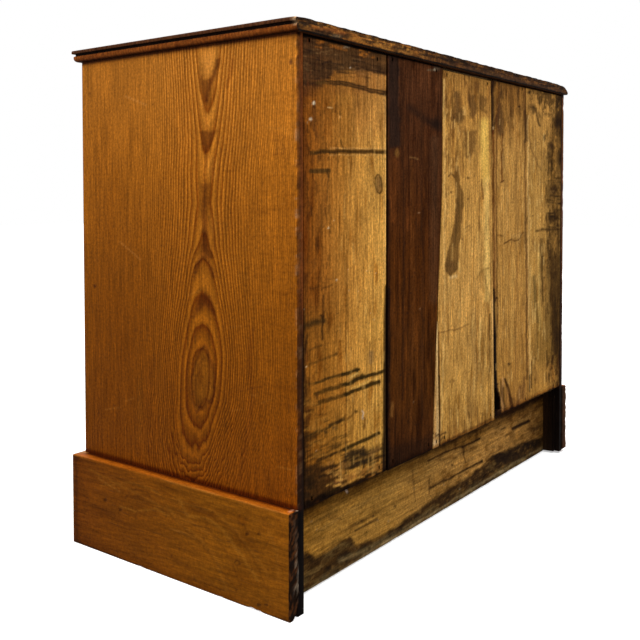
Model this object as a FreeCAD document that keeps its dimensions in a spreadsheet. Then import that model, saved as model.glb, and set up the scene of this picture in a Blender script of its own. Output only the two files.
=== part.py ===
# Chest of drawers: two short drawers over two long ones, on a plinth.
#
# Frame: millimetres, +Z up, the drawers open towards -Y, +X is the width.
# The origin is on the floor, at the middle of the whole object's footprint.
#
# The sides are single boards that run down to the floor. A plinth is applied
# around the front and both sides. Drawer rails are housed in the sides, the
# drawers slide on runners, and vertical boards of uneven width close the back.
import FreeCAD, Part
import os
import Sketcher

V = FreeCAD.Vector
doc = FreeCAD.newDocument("chest_of_drawers")
sheet = doc.addObject("Spreadsheet::Sheet", "dims")

CELLS = [
    # overall
    ("carcase_width", 1000.0), ("carcase_depth", 475.0), ("side_height", 836.0),
    ("side_thick", 22.0), ("rebate_width", 7.5), ("rebate_depth", 12.0),
    # top board and its moulded edge
    ("top_thick", 20.0), ("over_side", 9.0), ("over_front", 16.0), ("over_back", 7.0),
    ("lip_thick", 6.0), ("cove_depth", 5.0), ("cove_height", 4.0), ("band_inset", 2.5),
    ("band_radius", 6.0), ("lip_radius", 2.0),
    # plinth
    ("plinth_height", 155.0), ("plinth_thick", 20.0), ("plinth_ahead", 9.0),
    ("plinth_behind", 3.0), ("plinth_round", 2.5),
    ("low_rail_inset", 37.0), ("low_rail_thick", 20.0), ("low_rail_lift", 2.0),
    # rails, runners and dividers
    ("rail_thick", 18.0), ("rail_wide", 70.0), ("tongue_long", 8.0), ("tongue_ahead", 15.0),
    ("back_rail_wide", 60.0), ("runner_wide", 40.0), ("cross_rail_wide", 45.0),
    ("upright_thick", 18.0), ("upright_tongue", 6.0), ("centre_runner_wide", 90.0),
    ("guide_high", 20.0),
    ("bottom_level", 151.0), ("open_bottom", 235.0), ("open_middle", 208.0),
    # drawers
    ("front_thick", 20.0), ("face_inset", 1.0), ("drawer_side_thick", 12.0),
    ("drawer_back_thick", 12.0), ("drawer_bottom_thick", 7.0), ("drawer_long", 448.0),
    ("gap_side", 1.0), ("gap_below", 0.5), ("gap_above", 1.5), ("side_drop", 2.0),
    ("groove_up", 10.0), ("groove_side", 5.0), ("groove_front", 6.0), ("back_drop", 8.0),
    ("lap", 5.0), ("tail_share", 0.30), ("tail_slope", 0.16),
    # drawer stops
    ("stop_long", 40.0), ("stop_wide", 30.0), ("stop_high", 5.0), ("stop_gap", 0.5),
    # knobs
    ("knob_reach", 36.0), ("knob_radius", 19.0), ("knob_collar", 13.0), ("knob_neck", 8.5),
    ("knob_face", 9.0), ("spigot_radius", 6.0), ("spigot_long", 19.0), ("spigot_clear", 0.2),
    ("long_knob_offset", 250.0), ("short_knob_centre", 243.5),
    # back boards: joints as lines from the top of the back to its foot
    ("board_gap", 1.5), ("board_edge", 484.0), ("joint_one", 262.4), ("joint_one_gap", 5.2),
    ("taper_x_top", 77.5), ("taper_x_high", 78.5), ("taper_x_mid", 91.2), ("taper_x_low", 101.5),
    ("taper_x_foot", 111.0), ("taper_level_high", 612.0), ("taper_level_mid", 434.0),
    ("taper_level_low", 300.0), ("split_x_top", 94.5), ("split_level_top", 391.0), ("split_x_foot", 85.5),
    ("joint_three_top", 118.0), ("joint_three_foot", 141.0),
    ("joint_four_top", 285.0), ("joint_four_foot", 310.5),
    ("board_one_top", 835.0), ("board_two_top", 834.0), ("board_three_top", 830.0),
    ("board_four_top", 832.0), ("board_five_top", 833.0),
    ("board_one_foot", 151.5), ("board_two_foot", 150.5), ("board_three_foot", 149.5),
    ("board_three_foot_far", 157.0), ("board_four_foot", 157.0), ("board_five_foot", 158.0),
    ("chip_wide", 25.0), ("chip_high", 215.0),
    # nails, screws and blocks
    ("nail_shank", 2.4), ("nail_head_long", 6.0), ("nail_head_wide", 3.6), ("nail_head_thick", 1.2),
    ("nail_depth", 32.0), ("nail_top_level", 825.0), ("nail_foot_level", 163.0),
    ("screw_radius", 2.2), ("screw_head", 4.6), ("screw_long", 29.0), ("screw_clear", 0.15),
    ("screw_slot", 1.2),
    ("block_wide", 22.0), ("block_long", 90.0), ("block_tall", 110.0),
]


class Q:
    """A size that carries both its value and the sheet formula it comes from."""

    def __init__(self, v, s):
        self.v = float(v)
        self.s = s

    @staticmethod
    def of(x):
        return x if isinstance(x, Q) else Q(x, "(%.6f)" % x)

    def _join(a, b, op, v):
        return Q(v, "(%s %s %s)" % (a.s, op, b.s))

    def __add__(self, o):
        o = Q.of(o)
        return self._join(o, "+", self.v + o.v)

    def __radd__(self, o):
        return Q.of(o) + self

    def __sub__(self, o):
        o = Q.of(o)
        return self._join(o, "-", self.v - o.v)

    def __rsub__(self, o):
        return Q.of(o) - self

    def __mul__(self, o):
        o = Q.of(o)
        return self._join(o, "*", self.v * o.v)

    def __rmul__(self, o):
        return Q.of(o) * self

    def __truediv__(self, o):
        o = Q.of(o)
        return self._join(o, "/", self.v / o.v)

    def __neg__(self):
        return Q(-self.v, "(0 - %s)" % self.s)


D = {}
for row, (alias, value) in enumerate(CELLS, start=1):
    sheet.set("A%d" % row, alias)
    sheet.set("B%d" % row, "%g" % value)
    sheet.setAlias("B%d" % row, alias)
    D[alias] = Q(value, "dims." + alias)
doc.recompute()


def g(name):
    return D[name]


PARTS = {}      # node name -> document object


def bind(obj, prop, q):
    q = Q.of(q)
    if "." not in prop and hasattr(obj, prop):
        setattr(obj, prop, q.v)
    obj.setExpression(prop, q.s)


def place(obj, x=None, y=None, z=None):
    for axis, q in (("x", x), ("y", y), ("z", z)):
        if q is not None:
            bind(obj, "Placement.Base." + axis, q)


def box(name, x0, x1, y0, y1, z0, z1):
    o = doc.addObject("Part::Box", name)
    x0, x1, y0, y1, z0, z1 = [Q.of(q) for q in (x0, x1, y0, y1, z0, z1)]
    bind(o, "Length", x1 - x0)
    bind(o, "Width", y1 - y0)
    bind(o, "Height", z1 - z0)
    place(o, x0, y0, z0)
    return o


def cut(name, base, *tools):
    """base with each tool taken away, one boolean after another."""
    for i, tool in enumerate(tools):
        o = doc.addObject("Part::Cut", name if i == len(tools) - 1 else "%s_step%d" % (name, i))
        o.Base = base
        o.Tool = tool
        base = o
    return base


def fuse(name, shapes):
    o = doc.addObject("Part::MultiFuse", name)
    o.Shapes = list(shapes)
    return o


def group(name, members):
    """Separate solids that share one node."""
    o = doc.addObject("Part::Compound", name)
    o.Links = list(members)
    return o


def keep(node, obj):
    obj.Label = node
    PARTS[node] = obj
    return obj


def body(name):
    return doc.addObject("PartDesign::Body", name)


def origin_plane(b, role):
    return [f for f in b.Origin.OriginFeatures if f.Role == role][0]


def sketch(b, name, role, offset=None):
    s = b.newObject("Sketcher::SketchObject", name)
    s.AttachmentSupport = [(origin_plane(b, role), "")]
    s.MapMode = "FlatFace"
    if offset is not None:
        s.setExpression("AttachmentOffset.Base.z", Q.of(offset).s)
        s.AttachmentOffset = FreeCAD.Placement(V(0, 0, Q.of(offset).v), FreeCAD.Rotation())
    return s


def loop(s, points):
    """A closed outline. Each point is (x, y) or (x, y, radius, side): the last two make the
    edge that starts there an arc, with its centre on the left (+1) or right (-1) of travel."""
    n = len(points)
    pts = [(Q.of(p[0]), Q.of(p[1])) for p in points]
    first = s.GeometryCount
    ends = []
    for i, p in enumerate(points):
        a = V(pts[i][0].v, pts[i][1].v, 0)
        b = V(pts[(i + 1) % n][0].v, pts[(i + 1) % n][1].v, 0)
        if len(p) == 2:
            s.addGeometry(Part.LineSegment(a, b), False)
            ends.append((1, 2, None))
            continue
        radius, side = Q.of(p[2]), p[3]
        half = (b - a) * 0.5
        left = V(-half.y, half.x, 0)
        left.normalize()
        rise = max(radius.v ** 2 - half.Length ** 2, 0.0) ** 0.5
        centre = a + half + left * rise * side
        mid = centre - left * radius.v * side
        arc = Part.Arc(a, mid, b)
        s.addGeometry(arc, False)
        # an arc in a sketch runs anticlockwise, so a clockwise one has its ends swapped
        ends.append((1, 2, radius) if side > 0 else (2, 1, radius))
    for i in range(n):
        j = (i + 1) % n
        s.addConstraint(Sketcher.Constraint("Coincident", first + i, ends[i][1], first + j, ends[j][0]))
    for i in range(n):
        for k, word in ((0, "DistanceX"), (1, "DistanceY")):
            q = pts[i][k]
            if q.v == 0.0:
                s.addConstraint(Sketcher.Constraint("PointOnObject", first + i, ends[i][0], -2 if k == 0 else -1))
                continue
            c = s.addConstraint(Sketcher.Constraint(word, -1, 1, first + i, ends[i][0], q.v))
            s.setExpression("Constraints[%d]" % c, q.s)
        if ends[i][2] is not None:
            c = s.addConstraint(Sketcher.Constraint("Radius", first + i, ends[i][2].v))
            s.setExpression("Constraints[%d]" % c, ends[i][2].s)


def pad(b, name, sk, length, reverse=False):
    f = b.newObject("PartDesign::Pad", name)
    f.Profile = sk
    bind(f, "Length", length)
    f.Reversed = reverse
    doc.recompute()
    return f


def through(b, name, sk):
    """A pocket that runs right through the body both ways, and must remove something."""
    before = b.Shape.Volume
    f = b.newObject("PartDesign::Pocket", name)
    f.Profile = sk
    f.Type = "ThroughAll"
    f.Midplane = True
    doc.recompute()
    if b.Shape.Volume >= before - 1.0:
        raise RuntimeError("pocket %s of %s removes nothing" % (name, b.Name))
    return f


def rounded(b, name, base, radius, test):
    """Round the edges of the body's last feature whose middle passes the test."""
    names = []
    for i, e in enumerate(base.Shape.Edges, start=1):
        mid = e.valueAt((e.FirstParameter + e.LastParameter) / 2)
        a, c = e.Vertexes[0].Point, e.Vertexes[-1].Point
        if test(mid, a, c):
            names.append("Edge%d" % i)
    if not names:
        raise RuntimeError("no edge to round on " + b.Name)
    f = b.newObject("PartDesign::Fillet", name)
    f.Base = (base, names)
    bind(f, "Radius", radius)
    doc.recompute()
    return f


# ------------------------------------------------------------------ levels and planes
half_out = g("carcase_width") / 2
half_in = half_out - g("side_thick")
y_front = (g("knob_reach") - g("face_inset") - g("carcase_depth") - g("over_back")) / 2
y_back = y_front + g("carcase_depth")
y_board = y_back - g("rebate_depth")            # inner face of the back boards
z_top = g("side_height")
z_bottom = g("bottom_level")
z_floor = z_bottom + g("rail_thick")            # floor of the lowest drawer opening
z_low = z_floor + g("open_bottom")
z_low_top = z_low + g("rail_thick")
z_high = z_low_top + g("open_middle")
z_high_top = z_high + g("rail_thick")
z_ceiling = z_top - g("rail_thick")
y_rail = y_front + g("rail_wide")
half_up = g("upright_thick") / 2


# ------------------------------------------------------------------ front rails
def plan_rail(name, y0, y1, ahead, z0):
    """A rail between the sides, with a stub tongue at each end that is set back from its front."""
    b = body(name)
    s = sketch(b, name + "_plan", "XY_Plane", z0)
    t = half_in + g("tongue_long")
    loop(s, [(-half_in, y0), (half_in, y0), (half_in, y0 + ahead), (t, y0 + ahead), (t, y1),
             (-t, y1), (-t, y0 + ahead), (-half_in, y0 + ahead)])
    pad(b, name + "_pad", s, g("rail_thick"))
    return b


top_front_rail = plan_rail("top_front_rail_body", y_front, y_rail, g("tongue_ahead"), z_ceiling)
upper_rail = plan_rail("upper_rail_body", y_front, y_rail, g("tongue_ahead"), z_high)
lower_rail = plan_rail("lower_rail_body", y_front, y_rail, g("tongue_ahead"), z_low)
bottom_rail = plan_rail("bottom_rail_body", y_front, y_rail, g("tongue_ahead"), z_bottom)
y_back_rail = y_board - g("back_rail_wide")
top_back_rail = plan_rail("top_back_rail_body", y_back_rail, y_board, Q.of(10), z_ceiling)
y_cross = y_board - g("cross_rail_wide")
cross_rail = plan_rail("cross_rail_body", y_cross, y_board, Q.of(10), z_high)

# centre upright between the short drawers, with a stub tongue up and down
up = body("upright_body")
s = sketch(up, "upright_side", "YZ_Plane", -half_up)
a = y_front + g("tongue_ahead")
lo, hi = z_high_top - g("upright_tongue"), z_ceiling + g("upright_tongue")
loop(s, [(y_front, z_high_top), (a, z_high_top), (a, lo), (y_rail - 10, lo), (y_rail - 10, z_high_top),
         (y_rail, z_high_top), (y_rail, z_ceiling), (y_rail - 10, z_ceiling), (y_rail - 10, hi), (a, hi),
         (a, z_ceiling), (y_front, z_ceiling)])
pad(up, "upright_pad", s, g("upright_thick"))
keep("centre_upright", up)

# ------------------------------------------------------------------ bottom board
bb = body("bottom_board_body")
s = sketch(bb, "bottom_board_plan", "XY_Plane", z_bottom)
t = half_in + g("tongue_long")
loop(s, [(-half_in, y_rail), (half_in, y_rail), (half_in, y_rail + 10), (t, y_rail + 10), (t, y_board - 10),
         (half_in, y_board - 10), (half_in, y_board), (-half_in, y_board), (-half_in, y_board - 10),
         (-t, y_board - 10), (-t, y_rail + 10), (-half_in, y_rail + 10)])
pad(bb, "bottom_board_pad", s, g("rail_thick"))

# ------------------------------------------------------------------ nails of the back
shank = g("nail_shank") / 2


def nail(name, x, z):
    """A cut nail: square shank, flat oblong head driven flush with the board's outer face."""
    x, z = Q.of(x), Q.of(z)
    a = box(name + "_shank", x - shank, x + shank, y_back - g("nail_depth"), y_back, z - shank, z + shank)
    hw, hl = g("nail_head_wide") / 2, g("nail_head_long") / 2
    b = box(name + "_head", x - hw, x + hw, y_back - g("nail_head_thick"), y_back, z - hl, z + hl)
    return fuse(name, [a, b])


NAILS = {1: [(470, 1), (292, -1), (466, 0), (286, 0)],
         2: [(246, 1), (100, 0), (244, 0), (126, 0)],
         3: [(62, -1), (-102, -1), (68, 0), (-122, 1)],
         4: [(-136, 0), (-268, 1), (-184, 1), (-292, 1)],
         5: [(-306, 0), (-470, -1), (-326, 0), (-468, 1)]}
nails, top_nails, foot_nails, board_nails = [], [], [], {}
for n, spots in NAILS.items():
    board_nails[n] = []
    for i, (x, lift) in enumerate(spots):
        level = g("nail_top_level") if i < 2 else g("nail_foot_level")
        one = nail("nail_%d_%d" % (n, i), x, level + 2.5 * lift)
        nails.append(one)
        board_nails[n].append(one)
        (top_nails if i < 2 else foot_nails).append(one)
sliver_nail = nail("nail_sliver", 98, g("nail_foot_level") - 1)
nails.append(sliver_nail)
foot_nails.append(sliver_nail)
keep("back_nails", group("back_nails_group", nails))

# ------------------------------------------------------------------ screws that hold the top
screw_bodies = []


def screw(name, x, y):
    """A slotted countersunk wood screw, driven up through a rail into the underside of the top."""
    b = body(name)
    s = sketch(b, name + "_profile", "XZ_Plane")
    r, head, long_ = g("screw_radius"), g("screw_head"), g("screw_long")
    loop(s, [(0, 0), (head, 0), (head, 0.6), (r, head - r + 0.6), (r, long_ - 6), (0, long_)])
    f = b.newObject("PartDesign::Revolution", name + "_turn")
    f.Profile = s
    f.ReferenceAxis = (s, ["V_Axis"])
    f.Angle = 360
    doc.recompute()
    k = sketch(b, name + "_slot_outline", "XZ_Plane")
    w = g("screw_slot") / 2
    loop(k, [(-w, -1), (w, -1), (w, 1.2), (-w, 1.2)])
    through(b, name + "_slot", k)
    place(b, Q.of(x), y, z_ceiling)
    screw_bodies.append(b)
    return b


def screw_hole(name, x, y):
    """The screw's hole, a hair wider than the screw, with its countersink."""
    c = g("screw_clear")
    r, head = g("screw_radius") + c, g("screw_head") + c
    a = doc.addObject("Part::Cylinder", name + "_bore")
    bind(a, "Radius", r)
    bind(a, "Height", g("screw_long") + 1)
    place(a, Q.of(x), y, z_ceiling - 0.5)
    k = doc.addObject("Part::Cone", name + "_sink")
    bind(k, "Radius1", head)
    bind(k, "Radius2", r)
    bind(k, "Height", head - r)
    place(k, Q.of(x), y, z_ceiling + 0.6)
    m = doc.addObject("Part::Cylinder", name + "_mouth")
    bind(m, "Radius", head)
    bind(m, "Height", Q.of(1.6))
    place(m, Q.of(x), y, z_ceiling - 1)
    return fuse(name, [a, k, m])


y_screw_front = y_front + 46
y_screw_back = y_back_rail + 24
front_holes, back_holes = [], []
for i, x in enumerate((-400, -160, 160, 400)):
    screw("screw_front_%d" % i, x, y_screw_front)
    front_holes.append(screw_hole("hole_front_%d" % i, x, y_screw_front))
for i, x in enumerate((-380, 0, 380)):
    screw("screw_back_%d" % i, x, y_screw_back)
    back_holes.append(screw_hole("hole_back_%d" % i, x, y_screw_back))
keep("top_screws", group("top_screws_group", screw_bodies))

# rails with their mortises and holes
keep("top_front_rail", cut("top_front_rail_cut", top_front_rail, up, *front_holes))
keep("upper_drawer_rail", cut("upper_rail_cut", upper_rail, up))
keep("lower_drawer_rail", lower_rail)
# the plinth's front board sits up into a rebate along the underside of the bottom rail
rail_rebate = box("bottom_rail_rebate", -half_in, half_in, y_front, y_front - g("plinth_ahead") + g("plinth_thick"),
                  z_bottom, g("plinth_height"))
keep("bottom_rail", cut("bottom_rail_cut", bottom_rail, rail_rebate))
keep("top_back_rail", cut("top_back_rail_cut", top_back_rail, *(back_holes + top_nails)))
keep("rear_cross_rail", cross_rail)
keep("bottom_board", cut("bottom_board_cut", bb, *foot_nails))

# ------------------------------------------------------------------ top board
tb = body("top_body")
x_edge = half_out + g("over_side")
y_edge = y_front - g("over_front")
y_rear = y_back + g("over_back")
s = sketch(tb, "top_plan", "XY_Plane", z_top)
loop(s, [(-x_edge, y_edge), (x_edge, y_edge), (x_edge, y_rear), (-x_edge, y_rear)])
pad(tb, "top_pad", s, g("top_thick"))
z_lid = z_top + g("top_thick")
z_lip = z_lid - g("lip_thick")
z_band = z_lip - g("cove_height")


def edge_profile(edge, way, far):
    """What the moulding plane takes off one edge: a thin rounded lip, a cove under it and a
    rounded band below. way is +1 where the solid is on the low side of the edge, -1 otherwise."""
    r = g("lip_radius")
    w = way
    e0 = edge
    e1 = edge - w * g("cove_depth")
    e2 = edge - w * g("band_inset")
    pts = [(e0 - w * r, z_lid, r, -w), (e0, z_lid - r), (e0, z_lip), (e1, z_lip),
           (e1, z_band + 0.5), (e2, z_band + 0.5 - (g("cove_depth") - g("band_inset")) * 0.6),
           (e2, z_top + g("band_radius"), g("band_radius"), -w), (e2 - w * g("band_radius"), z_top),
           (e2 - w * g("band_radius"), z_top - 3), (far, z_top - 3), (far, z_lid + 3), (e0 - w * r, z_lid + 3)]
    return pts


s = sketch(tb, "front_mould", "YZ_Plane")
loop(s, edge_profile(y_edge, -1, y_edge - 6))
through(tb, "front_mould_cut", s)
s = sketch(tb, "right_mould", "XZ_Plane")
loop(s, edge_profile(x_edge, 1, x_edge + 6))
through(tb, "right_mould_cut", s)
s = sketch(tb, "left_mould", "XZ_Plane")
loop(s, edge_profile(-x_edge, -1, -x_edge - 6))
through(tb, "left_mould_cut", s)
keep("top_board", cut("top_board_cut", tb, *(front_holes + back_holes)))

# ------------------------------------------------------------------ sides
housed = [top_front_rail, upper_rail, lower_rail, bottom_rail, top_back_rail, cross_rail, bb]
for word, sign in (("right", 1), ("left", -1)):
    out, inn = half_out * sign, half_in * sign
    x0, x1 = (inn, out) if sign > 0 else (out, inn)
    slab = box("side_slab_" + word, x0, x1, y_front, y_back, 0, z_top)
    r0, r1 = (inn, inn + g("rebate_width")) if sign > 0 else (inn - g("rebate_width"), inn)
    rebate = box("side_rebate_" + word, r0, r1, y_board, y_back, 0, z_top)
    notch = box("side_notch_" + word, x0, x1, y_front, y_front - g("plinth_ahead") + g("plinth_thick"), 0,
                g("plinth_height"))
    keep("side_panel_" + word, cut("side_%s_cut" % word, slab, rebate, notch, *housed))

# ------------------------------------------------------------------ plinth
px = half_out + g("plinth_thick")
py0 = y_front - g("plinth_ahead")
py1 = py0 + g("plinth_thick")
py2 = y_back + g("plinth_behind")
b = body("plinth_front_body")
s = sketch(b, "plinth_front_plan", "XY_Plane")
loop(s, [(-px, py0), (px, py0), (half_out, py1), (-half_out, py1)])
p = pad(b, "plinth_front_pad", s, g("plinth_height"))
rounded(b, "plinth_front_round", p, g("plinth_round"),
        lambda m, a, c: abs(m.z - g("plinth_height").v) < 0.1 and abs(a.y - py0.v) < 0.1 and abs(c.y - py0.v) < 0.1)
keep("plinth_front", b)
for word, sign in (("right", 1), ("left", -1)):
    b = body("plinth_return_%s_body" % word)
    s = sketch(b, "plinth_return_%s_plan" % word, "XY_Plane")
    pts = [(px * sign, py0), (px * sign, py2), (half_out * sign, py2), (half_out * sign, py1)]
    loop(s, pts if sign > 0 else pts[::-1])
    p = pad(b, "plinth_return_%s_pad" % word, s, g("plinth_height"))
    rounded(b, "plinth_return_%s_round" % word, p, g("plinth_round"),
            lambda m, a, c: abs(m.z - g("plinth_height").v) < 0.1 and abs(abs(a.x) - px.v) < 0.1 and abs(abs(c.x) - px.v) < 0.1)
    keep("plinth_return_" + word, b)

y_low = y_back - g("low_rail_inset")
keep("lower_back_rail", box("lower_back_rail_board", -half_in, half_in, y_low - g("low_rail_thick"), y_low,
                            g("low_rail_lift"), z_bottom))

# glue blocks: under the bottom rail behind the plinth front, and upright in the corners
w = g("block_wide")
blocks = []
for i, x in enumerate((-330, 0, 330)):
    blocks.append(box("block_front_%d" % i, x - g("block_long") / 2, x + g("block_long") / 2, py1, py1 + w,
                      z_bottom - w, z_bottom))
for word, sign in (("right", 1), ("left", -1)):
    x0, x1 = (half_in - w, half_in) if sign > 0 else (-half_in, -half_in + w)
    blocks.append(box("block_corner_" + word, x0, x1, py1, py1 + w, 6, 6 + g("block_tall")))
    yb = y_low - g("low_rail_thick")
    blocks.append(box("block_rear_" + word, x0, x1, yb - w, yb, 6, 6 + g("block_tall")))
keep("glue_blocks", group("glue_blocks_group", blocks))

# ------------------------------------------------------------------ runners, guides, kickers
rw = g("runner_wide")
for word, x0, x1 in (("right", half_in - rw, half_in), ("left", -half_in, -half_in + rw)):
    keep("upper_runner_" + word, box("upper_runner_%s_bar" % word, x0, x1, y_rail, y_cross, z_high, z_high_top))
    keep("lower_runner_" + word, box("lower_runner_%s_bar" % word, x0, x1, y_rail, y_board, z_low, z_low_top))
    keep("kicker_" + word, box("kicker_%s_bar" % word, x0, x1, y_rail, y_back_rail, z_ceiling, z_top))
cw = g("centre_runner_wide") / 2
keep("centre_runner", box("centre_runner_bar", -cw, cw, y_rail, y_cross, z_high, z_high_top))
keep("centre_guide", box("centre_guide_bar", -half_up, half_up, y_rail, y_board, z_high_top,
                         z_high_top + g("guide_high")))
keep("centre_kicker", box("centre_kicker_bar", -cw, cw, y_rail, y_back_rail, z_ceiling, z_top))

# ------------------------------------------------------------------ back boards
gap = g("board_gap") / 2


def board(node, outline, tools):
    """One vertical board of the back, drawn on the back plane and 12 thick."""
    b = body(node + "_body")
    s = sketch(b, node + "_outline", "XZ_Plane", -y_back)
    loop(s, outline)
    pad(b, node + "_pad", s, g("rebate_depth"))
    keep(node, cut(node + "_cut", b, *tools))


def along(x_top, x_foot, level):
    """Where a joint line that runs from the top of the back to its foot crosses a level."""
    top, foot = Q.of(833), Q.of(149)
    return x_foot + (x_top - x_foot) * (level - foot) / (top - foot)


j1, wide = g("joint_one"), g("joint_one_gap") / 2
z1t, z1f = g("board_one_top"), g("board_one_foot")
board("backboard_1", [(j1 + wide, z1f), (g("board_edge"), z1f), (g("board_edge"), z1t), (j1 + wide, z1t)],
      board_nails[1])

# the second board is scribed to a slanting, slightly bent edge that the third one follows
z2t, z2f = g("board_two_top"), g("board_two_foot")
taper = [(g("taper_x_foot"), z2f), (g("taper_x_low"), g("taper_level_low")),
         (g("taper_x_mid"), g("taper_level_mid")), (g("taper_x_high"), g("taper_level_high")),
         (g("taper_x_top"), z2t)]
board("backboard_2", [(taper[0][0] + gap, z2f), (j1 - wide, z2f), (j1 - wide, z2t), (taper[4][0] + gap, z2t)]
      + [(x + gap, z) for x, z in reversed(taper[1:4])], board_nails[2])

# the third board is split: a long wedge at its foot is a loose strip of its own
z3t, z3f, z3g = g("board_three_top"), g("board_three_foot"), g("board_three_foot_far")
j3t, j3f = -g("joint_three_top"), -g("joint_three_foot")
split_x, split_z, foot_x = g("split_x_top"), g("split_level_top"), g("split_x_foot")
board("backboard_3", [(along(j3t, j3f, z3g) + gap, z3g), (foot_x - gap, z3f), (split_x - 2 * gap, split_z),
                      (g("taper_x_mid") - gap, g("taper_level_mid")),
                      (g("taper_x_high") - gap, g("taper_level_high")), (g("taper_x_top") - gap, z3t),
                      (along(j3t, j3f, z3t) + gap, z3t)], board_nails[3])
board("backboard_sliver", [(foot_x, z3f), (g("taper_x_foot") - 0.8, z3f),
                           (g("taper_x_low") - 0.8, g("taper_level_low")), (split_x, split_z - 12),
                           (split_x - 1.5, split_z - 12)], [sliver_nail])

# the fourth board has lost the corner at its foot
z4t, z4f = g("board_four_top"), g("board_four_foot")
j4t, j4f = -g("joint_four_top"), -g("joint_four_foot")
edge = along(j3t, j3f, z4f) - gap
board("backboard_4", [(along(j4t, j4f, z4f) + gap, z4f), (edge - g("chip_wide") + 3, z4f),
                      (edge - g("chip_wide"), z4f + 18), (edge - g("chip_wide") + 2, g("chip_high") - 22),
                      (edge - g("chip_wide") + 12, g("chip_high") - 3), (along(j3t, j3f, g("chip_high")) - gap,
                      g("chip_high")), (along(j3t, j3f, z4t) - gap, z4t), (along(j4t, j4f, z4t) + gap, z4t)],
      board_nails[4])
z5t, z5f = g("board_five_top"), g("board_five_foot")
board("backboard_5", [(-g("board_edge"), z5f), (along(j4t, j4f, z5f) - gap, z5f),
                      (along(j4t, j4f, z5t) - gap, z5t), (-g("board_edge"), z5t)], board_nails[5])

# ------------------------------------------------------------------ drawers
y_face = y_front + g("face_inset")
y_inner = y_face + g("front_thick")
y_end = y_face + g("drawer_long")
y_end_root = y_end - g("drawer_back_thick")


def knob(node, x, z):
    """A turned knob: spigot through the drawer front, collar, waisted neck and a domed face."""
    b = body(node + "_body")
    s = sketch(b, node + "_profile", "XY_Plane")
    sp, long_, reach = g("spigot_radius"), g("spigot_long"), g("knob_reach")
    col, neck, rad, face = g("knob_collar"), g("knob_neck"), g("knob_radius"), g("knob_face")
    # the profile is drawn on the knob's right half, from the spigot's end out towards -Y
    loop(s, [(0, long_), (0, -reach, (rad - 4) * 4.2, 1), (rad - 4, -reach + 1.6, 6.0, 1),
             (rad, -reach + 6, 9.0, 1), (rad - 5, -reach + 13.0), (neck, -reach + 20.0, 9.0, -1),
             (neck + 1, -5.5), (col - 1, -5.0, 2.2, 1), (col, -1.0), (col, 0), (sp, 0), (sp, long_)])
    f = b.newObject("PartDesign::Revolution", node + "_turn")
    f.Profile = s
    f.ReferenceAxis = (s, ["V_Axis"])
    f.Angle = 360
    doc.recompute()
    place(b, x, y_face, z)
    keep(node, b)


def knob_hole(name, x, z):
    c = doc.addObject("Part::Cylinder", name)
    bind(c, "Radius", g("spigot_radius") + g("spigot_clear"))
    bind(c, "Height", g("front_thick") + 4)
    c.Placement = FreeCAD.Placement(V(0, 0, 0), FreeCAD.Rotation(V(1, 0, 0), -90))
    place(c, x, y_face - 2, z)
    return c


def drawer(word, x0, x1, z0, z1, tails, knobs):
    """A dovetailed drawer: front, two sides, back and a thin bottom let into grooves.
    x0, x1 and z0, z1 are the opening; tails is the number of dovetails at each corner."""
    x0, x1 = x0 + g("gap_side"), x1 - g("gap_side")
    lo, hi = z0 + g("gap_below"), z1 - g("gap_above")
    hs = hi - g("side_drop")
    st = g("drawer_side_thick")
    zb0 = lo + g("groove_up")
    zb1 = zb0 + g("drawer_bottom_thick")
    zk = hs - g("back_drop")
    bottom = box(word + "_bottom_panel", x0 + st - g("groove_side"), x1 - st + g("groove_side"),
                 y_inner - g("groove_front"), y_end, zb0, zb1)
    tip = y_face + g("lap")
    raw = []
    for hand, xs in (("left", x0), ("right", x1 - st)):
        b = body("%s_side_%s_body" % (word, hand))
        s = sketch(b, "%s_side_%s_outline" % (word, hand), "YZ_Plane", xs)
        pts = [(y_end_root, hs), (y_inner, hs)]
        pitch = (hs - lo) / tails
        a = pitch * g("tail_share")
        w = a + (y_inner - tip) * g("tail_slope")
        for k in range(tails - 1, -1, -1):
            c = lo + pitch * (k + 0.5)
            pts += [(y_inner, c + a), (tip, c + w), (tip, c - w), (y_inner, c - a)]
        pts += [(y_inner, lo), (y_end, lo), (y_end, zb1)]
        pitch = (zk - zb1) / tails
        a = pitch * g("tail_share")
        w = a + (y_end - y_end_root) * g("tail_slope")
        pts += [(y_end_root, zb1)]
        for k in range(tails):
            c = zb1 + pitch * (k + 0.5)
            pts += [(y_end_root, c - a), (y_end, c - w), (y_end, c + w), (y_end_root, c + a)]
        loop(s, pts)
        pad(b, "%s_side_%s_pad" % (word, hand), s, st)
        raw.append(b)
        keep("%s_drawer_side_%s" % (word, hand), cut("%s_side_%s_cut" % (word, hand), b, bottom))
    front = box(word + "_front_board", x0, x1, y_face, y_inner, lo, hi)
    holes = [knob_hole("%s_knob_hole_%d" % (word, i), kx, (z0 + z1) / 2) for i, (_, kx) in enumerate(knobs)]
    keep(word + "_drawer_front", cut(word + "_front_cut", front, raw[0], raw[1], bottom, *holes))
    back = box(word + "_back_board", x0, x1, y_end_root, y_end, zb1, zk)
    keep(word + "_drawer_back", cut(word + "_back_cut", back, raw[0], raw[1]))
    keep(word + "_drawer_bottom", bottom)
    for name, kx in knobs:
        knob(name, kx, (z0 + z1) / 2)


drawer("upper_left", -half_in, -half_up, z_high_top, z_ceiling, 3,
       [("upper_left_knob", -g("short_knob_centre"))])
drawer("upper_right", half_up, half_in, z_high_top, z_ceiling, 3,
       [("upper_right_knob", Q.of(g("short_knob_centre")))])
drawer("middle", -half_in, half_in, z_low_top, z_high, 4,
       [("middle_knob_left", -g("long_knob_offset")), ("middle_knob_right", Q.of(g("long_knob_offset")))])
drawer("lower", -half_in, half_in, z_floor, z_low, 4,
       [("lower_knob_left", -g("long_knob_offset")), ("lower_knob_right", Q.of(g("long_knob_offset")))])

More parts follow.
